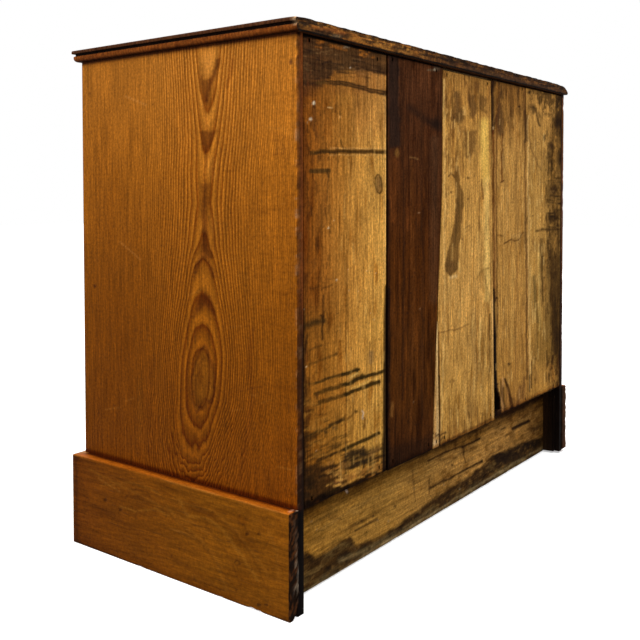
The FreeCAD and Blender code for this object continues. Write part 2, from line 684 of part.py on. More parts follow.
# stops glued on the rails, that meet the back of each drawer front
stops = []
ys = y_inner + g("stop_gap")
for name, x, z in (("a", -400, z_high_top), ("b", -110, z_high_top), ("c", 110, z_high_top), ("d", 400, z_high_top),
                   ("e", -330, z_low_top), ("f", 330, z_low_top), ("g", -330, z_floor), ("i", 330, z_floor)):
    stops.append(box("stop_" + name, x - g("stop_long") / 2, x + g("stop_long") / 2, ys, ys + g("stop_wide"),
                     z, z + g("stop_high")))
keep("drawer_stops", group("drawer_stops_group", stops))

# ------------------------------------------------------------------ check and write
doc.recompute()
bad = []
for o in doc.Objects:
    if any(w in o.State for w in ("Invalid", "Error")):
        bad.append("%s (%s): %s" % (o.Name, o.Label, o.State))
for node, o in PARTS.items():
    shape = o.Shape
    if shape.isNull() or not shape.isValid() or not shape.Solids:
        bad.append("%s: null, invalid or no solid" % node)
if bad:
    raise RuntimeError("; ".join(bad))
if len(PARTS) > 60:
    raise RuntimeError("too many parts: %d" % len(PARTS))
os.makedirs("parts", exist_ok=True)
total = Part.makeCompound([o.Shape for o in PARTS.values()]).BoundBox
for node, o in PARTS.items():
    o.Shape.exportStep("parts/%s.step" % node)
    bb_ = o.Shape.BoundBox
    print("%-26s solids %2d  volume %10.1f cm3  x %.1f..%.1f y %.1f..%.1f z %.1f..%.1f" % (
        node, len(o.Shape.Solids), o.Shape.Volume / 1000.0, bb_.XMin, bb_.XMax, bb_.YMin, bb_.YMax, bb_.ZMin,
        bb_.ZMax))
print("%d parts, overall x %.1f..%.1f y %.1f..%.1f z %.1f..%.1f" % (
    len(PARTS), total.XMin, total.XMax, total.YMin, total.YMax, total.ZMin, total.ZMax))
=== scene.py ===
# Looks of the chest of drawers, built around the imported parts. Millimetres in the helpers, metres in Blender.
import math

import bpy
import numpy as np
from mathutils import Matrix, Vector


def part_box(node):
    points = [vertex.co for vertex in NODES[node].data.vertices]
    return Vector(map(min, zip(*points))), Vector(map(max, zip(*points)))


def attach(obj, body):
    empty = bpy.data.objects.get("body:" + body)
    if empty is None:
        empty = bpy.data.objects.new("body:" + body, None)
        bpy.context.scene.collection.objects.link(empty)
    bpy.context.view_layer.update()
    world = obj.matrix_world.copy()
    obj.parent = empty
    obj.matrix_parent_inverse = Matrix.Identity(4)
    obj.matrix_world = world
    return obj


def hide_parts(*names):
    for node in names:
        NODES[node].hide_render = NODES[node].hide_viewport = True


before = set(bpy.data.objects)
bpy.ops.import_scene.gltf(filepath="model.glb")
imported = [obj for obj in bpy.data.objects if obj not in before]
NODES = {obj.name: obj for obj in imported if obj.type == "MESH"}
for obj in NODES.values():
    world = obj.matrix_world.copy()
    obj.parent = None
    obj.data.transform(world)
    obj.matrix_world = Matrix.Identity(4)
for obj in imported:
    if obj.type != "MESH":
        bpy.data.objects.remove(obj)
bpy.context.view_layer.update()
scene = bpy.context.scene

# ------------------------------------------------------------------ camera
CAM = np.array([1464.759, 1017.216, 606.485])
YAW, PITCH, ROLL = math.radians(216.904), math.radians(-1.686), math.radians(-0.088)
FPX, CX, CY = 870.391, 320.0, 220.0
_d = np.array([math.cos(YAW) * math.cos(PITCH), math.sin(YAW) * math.cos(PITCH), math.sin(PITCH)])
_r = np.cross(_d, [0, 0, 1]); _r /= np.linalg.norm(_r)
_u = np.cross(_r, _d)
_r2 = math.cos(ROLL) * _r + math.sin(ROLL) * _u
_u2 = -math.sin(ROLL) * _r + math.cos(ROLL) * _u

cam_data = bpy.data.cameras.new("camera")
cam_data.sensor_width = 36
cam_data.lens = 48.9595
cam_data.shift_x = 0.0
cam_data.shift_y = -0.15625
cam_data.clip_start, cam_data.clip_end = 0.05, 60
cam = bpy.data.objects.new("camera", cam_data)
scene.collection.objects.link(cam)
cam.matrix_world = Matrix((
    (_r2[0], _u2[0], -_d[0], CAM[0] / 1000),
    (_r2[1], _u2[1], -_d[1], CAM[1] / 1000),
    (_r2[2], _u2[2], -_d[2], CAM[2] / 1000),
    (0, 0, 0, 1)))
scene.camera = cam


def project(P):
    """Where points in mm fall in the 640 x 640 view."""
    v = P - CAM
    z = v @ _d
    return CX + FPX * (v @ _r2) / z, CY - FPX * (v @ _u2) / z


# ------------------------------------------------------------------ numpy noise and paint helpers
def _hash(ix, iy, iz, seed):
    h = (ix * 73856093) ^ (iy * 19349663) ^ (iz * 83492791) ^ ((seed + 11) * 2654435761)
    h = h & 0xFFFFFFFF
    h = ((h ^ (h >> 13)) * 1274126177) & 0xFFFFFFFF
    h = ((h ^ (h >> 16)) * 2246822519) & 0xFFFFFFFF
    return ((h ^ (h >> 15)) & 0xFFFFFF) / float(0xFFFFFF)


def vnoise(p, seed=0):
    """Smooth value noise from 0 to 1 at points p (N,3)."""
    p = np.asarray(p, float)
    i = np.floor(p).astype(np.int64)
    f = p - i
    f = f * f * (3 - 2 * f)
    out = 0
    for dx in (0, 1):
        wx = f[:, 0] if dx else 1 - f[:, 0]
        for dy in (0, 1):
            wy = f[:, 1] if dy else 1 - f[:, 1]
            for dz in (0, 1):
                wz = f[:, 2] if dz else 1 - f[:, 2]
                out = out + wx * wy * wz * _hash(i[:, 0] + dx, i[:, 1] + dy, i[:, 2] + dz, seed)
    return out


def fbm(p, seed=0, octaves=3, gain=0.5):
    """Layered value noise, centred on 0, about -0.5 to 0.5."""
    total, amp, norm = 0, 1.0, 0.0
    q = np.asarray(p, float)
    for k in range(octaves):
        total = total + amp * (vnoise(q, seed + 17 * k) - 0.5)
        norm += amp
        amp *= gain
        q = q * 2.03 + 5.7
    return total / norm


def smooth(x, a, b):
    t = np.clip((x - a) / (b - a), 0, 1)
    return t * t * (3 - 2 * t)


def lin(rgb):
    c = np.asarray(rgb, float) / 255.0
    return np.where(c <= 0.04045, c / 12.92, ((c + 0.055) / 1.055) ** 2.4)


def seg_dist(x, y, pts):
    """Distance in the view's pixels to a polyline."""
    best = np.full(x.shape, 1e9)
    pts = [np.asarray(q, float) for q in pts]
    if len(pts) == 1:
        return np.hypot(x - pts[0][0], y - pts[0][1])
    for a, b in zip(pts[:-1], pts[1:]):
        ab = b - a
        L = max(ab @ ab, 1e-9)
        t = np.clip(((x - a[0]) * ab[0] + (y - a[1]) * ab[1]) / L, 0, 1)
        best = np.minimum(best, np.hypot(x - a[0] - t * ab[0], y - a[1] - t * ab[1]))
    return best


def poly_sd(x, y, pts):
    """Signed distance to a closed polygon, negative inside."""
    pts = [np.asarray(q, float) for q in pts]
    d = seg_dist(x, y, pts + [pts[0]])
    inside = np.zeros(x.shape, bool)
    n = len(pts)
    for i in range(n):
        a, b = pts[i], pts[(i + 1) % n]
        cond = (a[1] > y) != (b[1] > y)
        with np.errstate(divide="ignore", invalid="ignore"):
            xs = (b[0] - a[0]) * (y - a[1]) / (b[1] - a[1] if b[1] != a[1] else 1e-9) + a[0]
        inside ^= cond & (x < xs)
    return np.where(inside, -d, d)


class Paint:
    """Colour on a piece's points, laid on in places named in the 640 x 640 view."""

    def __init__(self, P, seed=0):
        self.P = P
        self.x, self.y = project(P)
        self.col = np.ones((len(P), 3)) * 0.3
        self.rough = np.zeros(len(P))
        self.seed = seed

    def grad(self, v, stops):
        """A run of colours along v: [(value, (r, g, b)), ...]."""
        at = [s[0] for s in stops]
        cols = np.array([lin(s[1]) for s in stops])
        self.col = np.stack([np.interp(v, at, cols[:, k]) for k in range(3)], 1)
        return self

    def mix(self, w, rgb, k=1.0):
        w = np.clip(w * k, 0, 1)[:, None]
        self.col = self.col * (1 - w) + lin(rgb) * w
        return self

    def mul(self, w, f):
        f = np.asarray(f, float) * np.ones(3)
        self.col = self.col * (1 + np.clip(w, 0, 1)[:, None] * (f - 1))
        return self

    def _near(self, pts, reach):
        """The points of the piece within reach of a mark, so that only they are worked on."""
        a = np.asarray(pts, float).reshape(-1, 2)
        lo, hi = a.min(0) - reach, a.max(0) + reach
        return np.nonzero((self.x > lo[0]) & (self.x < hi[0]) & (self.y > lo[1]) & (self.y < hi[1]))[0]

    def _lay(self, k, w, rgb):
        w = np.clip(w, 0, 1)[:, None]
        self.col[k] = self.col[k] * (1 - w) + lin(rgb) * w
        return self

    def line(self, pts, width, rgb, k=1.0, soft=0.7, wobble=0.0):
        n = self._near(pts, width + soft + 2 * wobble + 1)
        if not len(n):
            return self
        x, y = self.x[n], self.y[n]
        if wobble:
            q = np.stack([x, y, y * 0], 1)
            x = x + wobble * fbm(q * 0.14, self.seed + 3) * 2
            y = y + wobble * fbm(q * 0.14 + 9, self.seed + 4) * 2
        w = 1 - smooth(seg_dist(x, y, pts), max(width / 2 - soft, 0), width / 2 + soft)
        return self._lay(n, w * k, rgb)

    def blob(self, c, r, rgb, k=1.0, soft=0.5, wobble=0.25):
        """An ellipse at c with half sizes r (a number or a pair); soft is a share of its size."""
        rx, ry = (r, r) if np.isscalar(r) else r
        n = self._near([c], 2.2 * max(rx, ry))
        if not len(n):
            return self
        x, y = self.x[n], self.y[n]
        d = np.hypot((x - c[0]) / rx, (y - c[1]) / ry)
        if wobble:
            q = np.stack([x, y, y * 0], 1)
            d = d + fbm(q * (1.6 / max(min(rx, ry), 1.2)), self.seed + 7) * 2 * wobble
        return self._lay(n, (1 - smooth(d, 1 - soft, 1 + soft * 0.6)) * k, rgb)

    def area(self, pts, rgb, k=1.0, soft=3.0, wobble=2.0):
        n = self._near(pts, soft + 2 * wobble + 1)
        if not len(n):
            return self
        x, y = self.x[n], self.y[n]
        q = np.stack([x, y, y * 0], 1)
        d = poly_sd(x, y, pts) + fbm(q * 0.16, self.seed + 5, 4) * 2 * wobble
        return self._lay(n, (1 - smooth(d, -soft, soft)) * k, rgb)

    def dashes(self, seed, box, n, rgb, k=0.6, length=(1.5, 5), width=(0.8, 1.6), angle=0.0, spread=0.3):
        """Short strokes scattered in a box of the view."""
        rng = np.random.default_rng(seed)
        for _ in range(n):
            cx, cy = rng.uniform(box[0], box[2]), rng.uniform(box[1], box[3])
            a = angle + rng.uniform(-spread, spread)
            L = rng.uniform(*length) / 2
            self.line([(cx - L * math.cos(a), cy - L * math.sin(a)), (cx + L * math.cos(a), cy + L * math.sin(a))], rng.uniform(*width), rgb, k * rng.uniform(0.6, 1.1))
        return self

    def marks(self, rows):
        """Rows of (kind, place, size, colour, strength)."""
        for row in rows:
            kind, where, size, rgb = row[:4]
            k = row[4] if len(row) > 4 else 1.0
            if kind == "l":
                self.line(where, size, rgb, k)
            elif kind == "w":
                self.line(where, size, rgb, k, wobble=1.2)
            elif kind == "s":
                self.line(where, size, rgb, k, soft=max(size * 0.5, 1.0), wobble=1.5)
            elif kind == "b":
                self.blob(where, size, rgb, k)
            elif kind == "B":
                self.blob(where, size, rgb, k, soft=0.9)
            elif kind == "a":
                self.area(where, rgb, k, soft=size)
            elif kind == "A":
                self.area(where, rgb, k, soft=size, wobble=5.0)
        return self


# ------------------------------------------------------------------ mesh builders
def new_mesh(name, V, F, smooth_angle=38.0):
    """A mesh object from points in mm and faces (lists of indices, or an (n,4) array)."""
    me = bpy.data.meshes.new(name)
    V = np.asarray(V, float) / 1000.0
    if isinstance(F, np.ndarray):
        loops = F.astype(np.int32).ravel()
        starts = np.arange(len(F), dtype=np.int32) * F.shape[1]
        totals = np.full(len(F), F.shape[1], np.int32)
    else:
        loops = np.array([i for f in F for i in f], np.int32)
        totals = np.array([len(f) for f in F], np.int32)
        starts = np.concatenate([[0], np.cumsum(totals)[:-1]]).astype(np.int32)
    me.vertices.add(len(V))
    me.vertices.foreach_set("co", V.astype(np.float32).ravel())
    me.loops.add(len(loops))
    me.loops.foreach_set("vertex_index", loops)
    me.polygons.add(len(starts))
    me.polygons.foreach_set("loop_start", starts)
    me.polygons.foreach_set("loop_total", totals)
    me.update(calc_edges=True)
    me.validate()
    me.shade_smooth()
    me.set_sharp_from_angle(angle=math.radians(smooth_angle))
    ob = bpy.data.objects.new(name, me)
    scene.collection.objects.link(ob)
    return ob


def attrs(ob, col=None, **floats):
    me = ob.data
    if col is not None:
        a = me.attributes.new("base", "FLOAT_COLOR", "POINT")
        rgba = np.ones((len(me.vertices), 4), np.float32)
        rgba[:, :3] = np.clip(col, 0, 1)
        a.data.foreach_set("color", rgba.ravel())
    for n, v in floats.items():
        a = me.attributes.new(n, "FLOAT", "POINT")
        a.data.foreach_set("value", np.asarray(v, np.float32))


def steps(a, b, d, r=0.0):
    """Places along an edge from a to b about d apart, with extra ones near the ends for an edge of radius r."""
    inner = [0.0, 0.586 * r, r] if r else [0.0]
    lo = [a + t for t in inner]
    hi = [b - t for t in reversed(inner)]
    n = max(int(round((hi[0] - lo[-1]) / d)), 1)
    return np.array(lo + [lo[-1] + (hi[0] - lo[-1]) * k / n for k in range(1, n)] + hi)


def grid_box(xs, ys, zs, r=0.0):
    """The surface of a box as a grid with shared points. Returns (points, quads)."""
    nx, ny, nz = len(xs), len(ys), len(zs)
    idx = -np.ones((nx, ny, nz), np.int64)
    m = np.zeros((nx, ny, nz), bool)
    m[0], m[-1] = True, True
    m[:, 0], m[:, -1] = True, True
    m[:, :, 0], m[:, :, -1] = True, True
    where = np.argwhere(m)
    idx[m] = np.arange(len(where))
    V = np.stack([np.asarray(xs)[where[:, 0]], np.asarray(ys)[where[:, 1]], np.asarray(zs)[where[:, 2]]], 1)

    def quads(s, flip):
        a, b, c, d = s[:-1, :-1], s[1:, :-1], s[1:, 1:], s[:-1, 1:]
        q = np.stack([a, b, c, d], -1).reshape(-1, 4)
        return q[:, ::-1] if flip else q

    F = np.concatenate([
        quads(idx[0], True), quads(idx[-1], False),
        quads(idx[:, 0], False), quads(idx[:, -1], True),
        quads(idx[:, :, 0], True), quads(idx[:, :, -1], False)])
    if r:
        V = round_box(V, xs[0], xs[-1], ys[0], ys[-1], zs[0], zs[-1], r)
    return V, F


def round_box(V, x0, x1, y0, y1, z0, z1, r):
    lo = np.array([x0, y0, z0]) + r
    hi = np.array([x1, y1, z1]) - r
    q = np.clip(V, lo, hi)
    e = V - q
    n = np.linalg.norm(e, axis=1)
    k = n > 1e-9
    out = V.copy()
    out[k] = q[k] + e[k] / n[k][:, None] * r
    return out


def sweep(ring, stations):
    """A closed outline in XY carried up through z. stations: (z, function of the ring's points)."""
    n = len(ring)
    layers, F = [], []
    for z, fn in stations:
        q = fn(ring.copy()) if fn else ring
        layers.append(np.column_stack([q, np.full(n, z)]))
    V = np.concatenate(layers)
    i = np.arange(n)
    j = (i + 1) % n
    body = [np.stack([k * n + i, k * n + j, (k + 1) * n + j, (k + 1) * n + i], 1) for k in range(len(stations) - 1)]
    return V, [list(map(int, q)) for q in np.concatenate(body)], n


def cap(ob_V, F, n, layers):
    """Close both ends with one face each."""
    F.append(list(range(n))[::-1])
    F.append([(layers - 1) * n + k for k in range(n)])
    return F


# ------------------------------------------------------------------ materials
class G:
    """A material's node graph, written as plain calls."""

    def __init__(self, name):
        self.m = bpy.data.materials.new(name)
        self.m.use_nodes = True
        self.t = self.m.node_tree
        self.t.nodes.clear()
        self.obj = self.node("ShaderNodeTexCoord").outputs["Object"]

    def node(self, kind, **kw):
        n = self.t.nodes.new(kind)
        for k, v in kw.items():
            setattr(n, k, v)
        return n

    def put(self, socket, v):
        if v is None:
            return
        if isinstance(v, bpy.types.NodeSocket):
            self.t.links.new(v, socket)
        elif isinstance(v, (tuple, list)) and socket.type == "RGBA" and len(v) == 3:
            socket.default_value = (*v, 1)
        else:
            socket.default_value = v

    def math(self, op, a, b=None, c=None, clamp=False):
        n = self.node("ShaderNodeMath", operation=op, use_clamp=clamp)
        for s, v in zip(n.inputs, (a, b, c)):
            self.put(s, v)
        return n.outputs[0]

    def vmath(self, op, a, b=None):
        n = self.node("ShaderNodeVectorMath", operation=op)
        self.put(n.inputs[0], a)
        self.put(n.inputs[1], b)
        return n.outputs["Value"] if op in ("LENGTH", "DISTANCE", "DOT_PRODUCT") else n.outputs["Vector"]

    def noise(self, vec, scale, detail=2.0, rough=0.5, dist=0.0):
        n = self.node("ShaderNodeTexNoise")
        self.put(n.inputs["Vector"], vec)
        self.put(n.inputs["Scale"], scale)
        self.put(n.inputs["Detail"], detail)
        self.put(n.inputs["Roughness"], rough)
        self.put(n.inputs["Distortion"], dist)
        return n.outputs["Fac"]

    def mix(self, fac, a, b, blend="MIX"):
        n = self.node("ShaderNodeMix", data_type="RGBA", blend_type=blend, clamp_factor=True)
        self.put(n.inputs[0], fac)
        self.put(n.inputs[6], a)
        self.put(n.inputs[7], b)
        return n.outputs[2]

    def rng(self, v, a, b, c=0.0, d=1.0, smooth=True):
        n = self.node("ShaderNodeMapRange", interpolation_type="SMOOTHSTEP" if smooth else "LINEAR")
        for s, x in zip(n.inputs, (v, a, b, c, d)):
            self.put(s, x)
        return n.outputs[0]

    def attr(self, name, colour=False):
        n = self.node("ShaderNodeAttribute", attribute_name=name)
        return n.outputs["Color"] if colour else n.outputs["Fac"]

    def xyz(self, vec=None):
        n = self.node("ShaderNodeSeparateXYZ")
        self.put(n.inputs[0], vec or self.obj)
        return n.outputs

    def comb(self, x, y, z):
        n = self.node("ShaderNodeCombineXYZ")
        for s, v in zip(n.inputs, (x, y, z)):
            self.put(s, v)
        return n.outputs[0]

    def grey(self, f, lo=0.0, hi=1.0):
        """A noise carried over as a grey between lo and hi, using the middle of its range."""
        v = self.rng(f, 0.27, 0.73, lo, hi, smooth=False)
        return self.comb(v, v, v)

    def bump(self, h, strength, dist, normal=None):
        n = self.node("ShaderNodeBump")
        self.put(n.inputs["Strength"], strength)
        self.put(n.inputs["Distance"], dist)
        self.put(n.inputs["Height"], h)
        if normal is not None:
            self.put(n.inputs["Normal"], normal)
        return n.outputs[0]

    def out(self, colour, rough, normal=None, metal=0.0, spec=0.5, coat=0.0):
        b = self.node("ShaderNodeBsdfPrincipled")
        self.put(b.inputs["Base Color"], colour)
        self.put(b.inputs["Roughness"], rough)
        self.put(b.inputs["Metallic"], metal)
        b.inputs["Specular IOR Level"].default_value = spec
        b.inputs["Coat Weight"].default_value = coat
        b.inputs["Coat Roughness"].default_value = 0.35
        if normal is not None:
            self.put(b.inputs["Normal"], normal)
        o = self.node("ShaderNodeOutputMaterial")
        self.t.links.new(b.outputs[0], o.inputs[0])
        return self.m


STRETCH = {"x": (0.045, 1, 1), "y": (1, 0.045, 1), "z": (1, 1, 0.045)}


def late_mask(g, ring):
    """0 in early wood, rising slowly to 1 in late wood and falling off sharply."""
    t = g.math("FRACT", ring)
    rise = g.math("POWER", g.rng(t, 0.12, 0.86, smooth=False), 2.2)
    fall = g.rng(t, 0.88, 1.0, 1.0, 0.0)
    return g.math("MULTIPLY", rise, fall)


def fibres(g, grain, shift=0.0):
    s = STRETCH[grain]
    v = g.vmath("MULTIPLY", g.vmath("ADD", g.obj, (shift, shift * 0.7, shift * 1.3)), s)
    soft = g.vmath("MULTIPLY", g.vmath("ADD", g.obj, (shift * 0.6, shift, shift * 0.4)), tuple(q ** 0.45 for q in s))
    return g.noise(v, 900, 2, 0.6), g.noise(v, 210, 3, 0.62), g.noise(soft, 55, 5, 0.66), v


def painted(name, grain, rough=0.55, fib=0.20, mott=0.16, spec=0.08, coat=0.0, bump=0.25, tint=(0.62, 0.47, 0.32), seed=0.0, light=0.0):
    """Wood whose colour and growth rings are laid on the mesh as attributes, with its fine texture made here."""
    g = G(name)
    base = g.attr("base", True)
    ring = g.attr("ring")
    rc = g.attr("rc")
    dirt = g.attr("dirt")
    fine, mid, broad, v = fibres(g, grain, seed)
    wav = g.noise(v, 90, 2, 0.5)
    r = g.math("ADD", ring, g.math("MULTIPLY", g.math("SUBTRACT", wav, 0.5), 0.30))
    late = late_mask(g, r)
    lf = g.math("MULTIPLY", late, rc, clamp=True)
    t = g.math("FRACT", r)
    early = g.math("MULTIPLY", g.math("MULTIPLY", g.rng(t, 0.0, 0.10), g.rng(t, 0.22, 0.42, 1.0, 0.0)), g.math("MULTIPLY", rc, light), clamp=True)
    pale = g.mix(early, base, g.mix(1.0, base, (1.42, 1.42, 1.5), "MULTIPLY"))
    col = g.mix(lf, pale, g.mix(1.0, base, tint, "MULTIPLY"))
    sand = g.noise(g.obj, 230, 2, 0.7)
    col = g.mix(1.0, col, g.grey(mid, 1 - fib, 1 + fib), "MULTIPLY")
    col = g.mix(1.0, col, g.grey(fine, 1 - fib * 0.8, 1 + fib * 0.8), "MULTIPLY")
    col = g.mix(1.0, col, g.grey(sand, 1 - fib * 0.9, 1 + fib * 0.9), "MULTIPLY")
    col = g.mix(1.0, col, g.grey(broad, 1 - mott, 1 + mott), "MULTIPLY")
    pores = g.rng(g.noise(g.vmath("MULTIPLY", g.obj, STRETCH[grain]), 620, 1, 0.5), 0.66, 0.74)
    col = g.mix(g.math("MULTIPLY", pores, 0.28), col, (0.05, 0.03, 0.015))
    blot = g.noise(g.obj, 140, 3, 0.65)
    speck = g.rng(blot, 0.70, 0.76)
    col = g.mix(g.math("MULTIPLY", g.math("MULTIPLY", speck, dirt, clamp=True), 0.6), col, (0.02, 0.014, 0.009))
    ro = g.math("ADD", g.math("ADD", rough, g.math("MULTIPLY", dirt, 0.18)), g.math("MULTIPLY", g.math("SUBTRACT", broad, 0.5), 0.35), clamp=True)
    h = g.math("ADD", g.math("MULTIPLY", fine, 0.45), g.math("ADD", g.math("MULTIPLY", mid, 0.5), g.math("MULTIPLY", lf, 0.35)))
    nor = g.bump(h, bump, 0.0006)
    return g.out(col, ro, nor, spec=spec, coat=coat)


def pine(name, grain="x", pith=(0.0, 0.0), spacing=0.0045, early=(0.5, 0.3, 0.12), late=(0.25, 0.12, 0.04), contrast=0.75,
         rough=0.6, spec=0.12, coat=0.0, stain=(0.1, 0.06, 0.03), stains=0.35, knots=(), shift=0.0, bump=0.25, grime=0.0):
    """Solid pine: rings round a pith line, cut wherever the surface lies. pith: its place on the two axes across the grain, in metres."""
    g = G(name)
    sx = g.xyz()
    a, b, w = {"x": (sx[1], sx[2], sx[0]), "y": (sx[0], sx[2], sx[1]), "z": (sx[0], sx[1], sx[2])}[grain]
    slow = g.noise(g.vmath("MULTIPLY", g.vmath("ADD", g.obj, (shift, shift, shift)), STRETCH[grain]), 16, 2, 0.5)
    bend = g.noise(g.comb(g.math("ADD", g.math("MULTIPLY", w, 2.1), shift), shift, 0.0), 1.0, 1, 0.5)
    bend2 = g.noise(g.comb(g.math("ADD", g.math("MULTIPLY", w, 2.9), shift + 7), 3.0, shift), 1.0, 1, 0.5)
    ua = g.math("ADD", g.math("SUBTRACT", a, pith[0]), g.math("MULTIPLY", g.math("SUBTRACT", bend, 0.5), 0.05))
    ub = g.math("ADD", g.math("SUBTRACT", b, pith[1]), g.math("MULTIPLY", g.math("SUBTRACT", bend2, 0.5), 0.05))
    r = g.math("SQRT", g.math("ADD", g.math("MULTIPLY", ua, ua), g.math("MULTIPLY", ub, ub)))
    r = g.math("ADD", r, g.math("MULTIPLY", g.math("SUBTRACT", slow, 0.5), 0.012))
    heart = None
    for (ka, kb, kw, size) in knots:
        d = g.comb(g.math("SUBTRACT", a, ka), g.math("SUBTRACT", b, kb), g.math("MULTIPLY", g.math("SUBTRACT", w, kw), 0.55))
        q = g.math("DIVIDE", g.vmath("LENGTH", d), size)
        lobe = g.math("EXPONENT", g.math("MULTIPLY", g.math("MULTIPLY", q, q), -0.35))
        r = g.math("ADD", r, g.math("MULTIPLY", lobe, size * 1.5))
        k = g.rng(q, 0.30, 0.52, 1.0, 0.0)
        heart = k if heart is None else g.math("MAXIMUM", heart, k)
    ring = g.math("DIVIDE", r, spacing)
    fine, mid, broad, v = fibres(g, grain, shift)
    ring = g.math("ADD", ring, g.math("MULTIPLY", g.math("SUBTRACT", g.noise(v, 110, 2, 0.5), 0.5), 0.5))
    vary = g.noise(g.comb(g.math("MULTIPLY", ring, 0.37), shift, 1.3), 1.0, 1, 0.5)
    lf = g.math("MULTIPLY", late_mask(g, ring), g.rng(vary, 0.25, 0.8, contrast * 0.45, contrast), clamp=True)
    col = g.mix(lf, early, late)
    col = g.mix(1.0, col, g.grey(mid, 0.78, 1.22), "MULTIPLY")
    col = g.mix(1.0, col, g.grey(fine, 0.86, 1.14), "MULTIPLY")
    col = g.mix(1.0, col, g.grey(broad, 0.76, 1.24), "MULTIPLY")
    if heart is not None:
        col = g.mix(g.math("MULTIPLY", heart, 0.85), col, (late[0] * 0.45, late[1] * 0.4, late[2] * 0.4))
    st = g.noise(g.vmath("ADD", g.obj, (shift * 2, 1.0, shift)), 7.5, 5, 0.62, 0.4)
    sf = g.math("MULTIPLY", g.rng(st, 0.48, 0.72), stains)
    col = g.mix(sf, col, g.mix(1.0, col, tuple(c / max(stain) * 0.62 for c in stain), "MULTIPLY"))
    pores = g.rng(g.noise(v, 620, 1, 0.5), 0.66, 0.74)
    col = g.mix(g.math("MULTIPLY", pores, 0.25), col, (0.05, 0.03, 0.015))
    if grime:
        gr = g.rng(g.noise(g.obj, 32, 5, 0.7), 0.42, 0.66)
        col = g.mix(g.math("MULTIPLY", gr, grime), col, (0.035, 0.026, 0.018))
    ro = g.math("ADD", rough, g.math("MULTIPLY", g.math("SUBTRACT", broad, 0.5), 0.3), clamp=True)
    h = g.math("ADD", g.math("MULTIPLY", fine, 0.45), g.math("ADD", g.math("MULTIPLY", mid, 0.5), g.math("MULTIPLY", lf, 0.4)))
    return g.out(col, ro, g.bump(h, bump, 0.0006), spec=spec, coat=coat)


def metal(name, colour, rust=(0.09, 0.035, 0.015), amount=0.6, rough=0.55):
    g = G(name)
    n = g.noise(g.obj, 420, 4, 0.7)
    n2 = g.noise(g.obj, 90, 3, 0.6)
    f = g.math("MULTIPLY", g.rng(g.math("ADD", g.math("MULTIPLY", n, 0.6), g.math("MULTIPLY", n2, 0.4)), 0.38, 0.62), amount)
    col = g.mix(f, colour, rust)
    col = g.mix(1.0, col, g.grey(n, 0.7, 1.3), "MULTIPLY")
    met = g.rng(f, 0.0, 0.6, 0.9, 0.15)
    ro = g.math("ADD", rough, g.math("MULTIPLY", f, 0.3), clamp=True)
    return g.out(col, ro, g.bump(n, 0.35, 0.0003), metal=met)


def wear(me_ob, mat):
    me_ob.data.materials.clear()
    me_ob.data.materials.append(mat)


def dress(ob, bevel=0.0006, angle=32, segments=2):
    """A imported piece: its split points welded, its arrises broken slightly."""
    w = ob.modifiers.new("weld", "WELD")
    w.merge_threshold = 0.00002
    if bevel:
        b = ob.modifiers.new("arris", "BEVEL")
        b.width = bevel
        b.segments = segments
        b.limit_method = "ANGLE"
        b.angle_limit = math.radians(angle)
        b.harden_normals = False
        b.use_clamp_overlap = True


# ------------------------------------------------------------------ paints
PALE, TAN, HONEY, UMBER = (200, 148, 74), (172, 122, 58), (152, 98, 38), (112, 66, 24)
DIRT, BLACK, RED, GREY, WHITE, GOLD = (62, 38, 22), (20, 12, 8), (92, 46, 18), (112, 94, 70), (206, 188, 158), (216, 160, 72)


def arc(cx, cy, r, a0, a1, n=3):
    return [(cx + r * math.cos(math.radians(a0 + (a1 - a0) * k / n)), cy + r * math.sin(math.radians(a0 + (a1 - a0) * k / n))) for k in range(n + 1)]


def warp(P, axis, seed, length=180.0, cross=40.0):
    """A slow sideways wander of the grain, in units of 1, for lines that run along an axis."""
    s = np.full(3, 1 / cross)
    s[axis] = 1 / length
    return fbm(P * s + seed * 13.1, seed, 3)


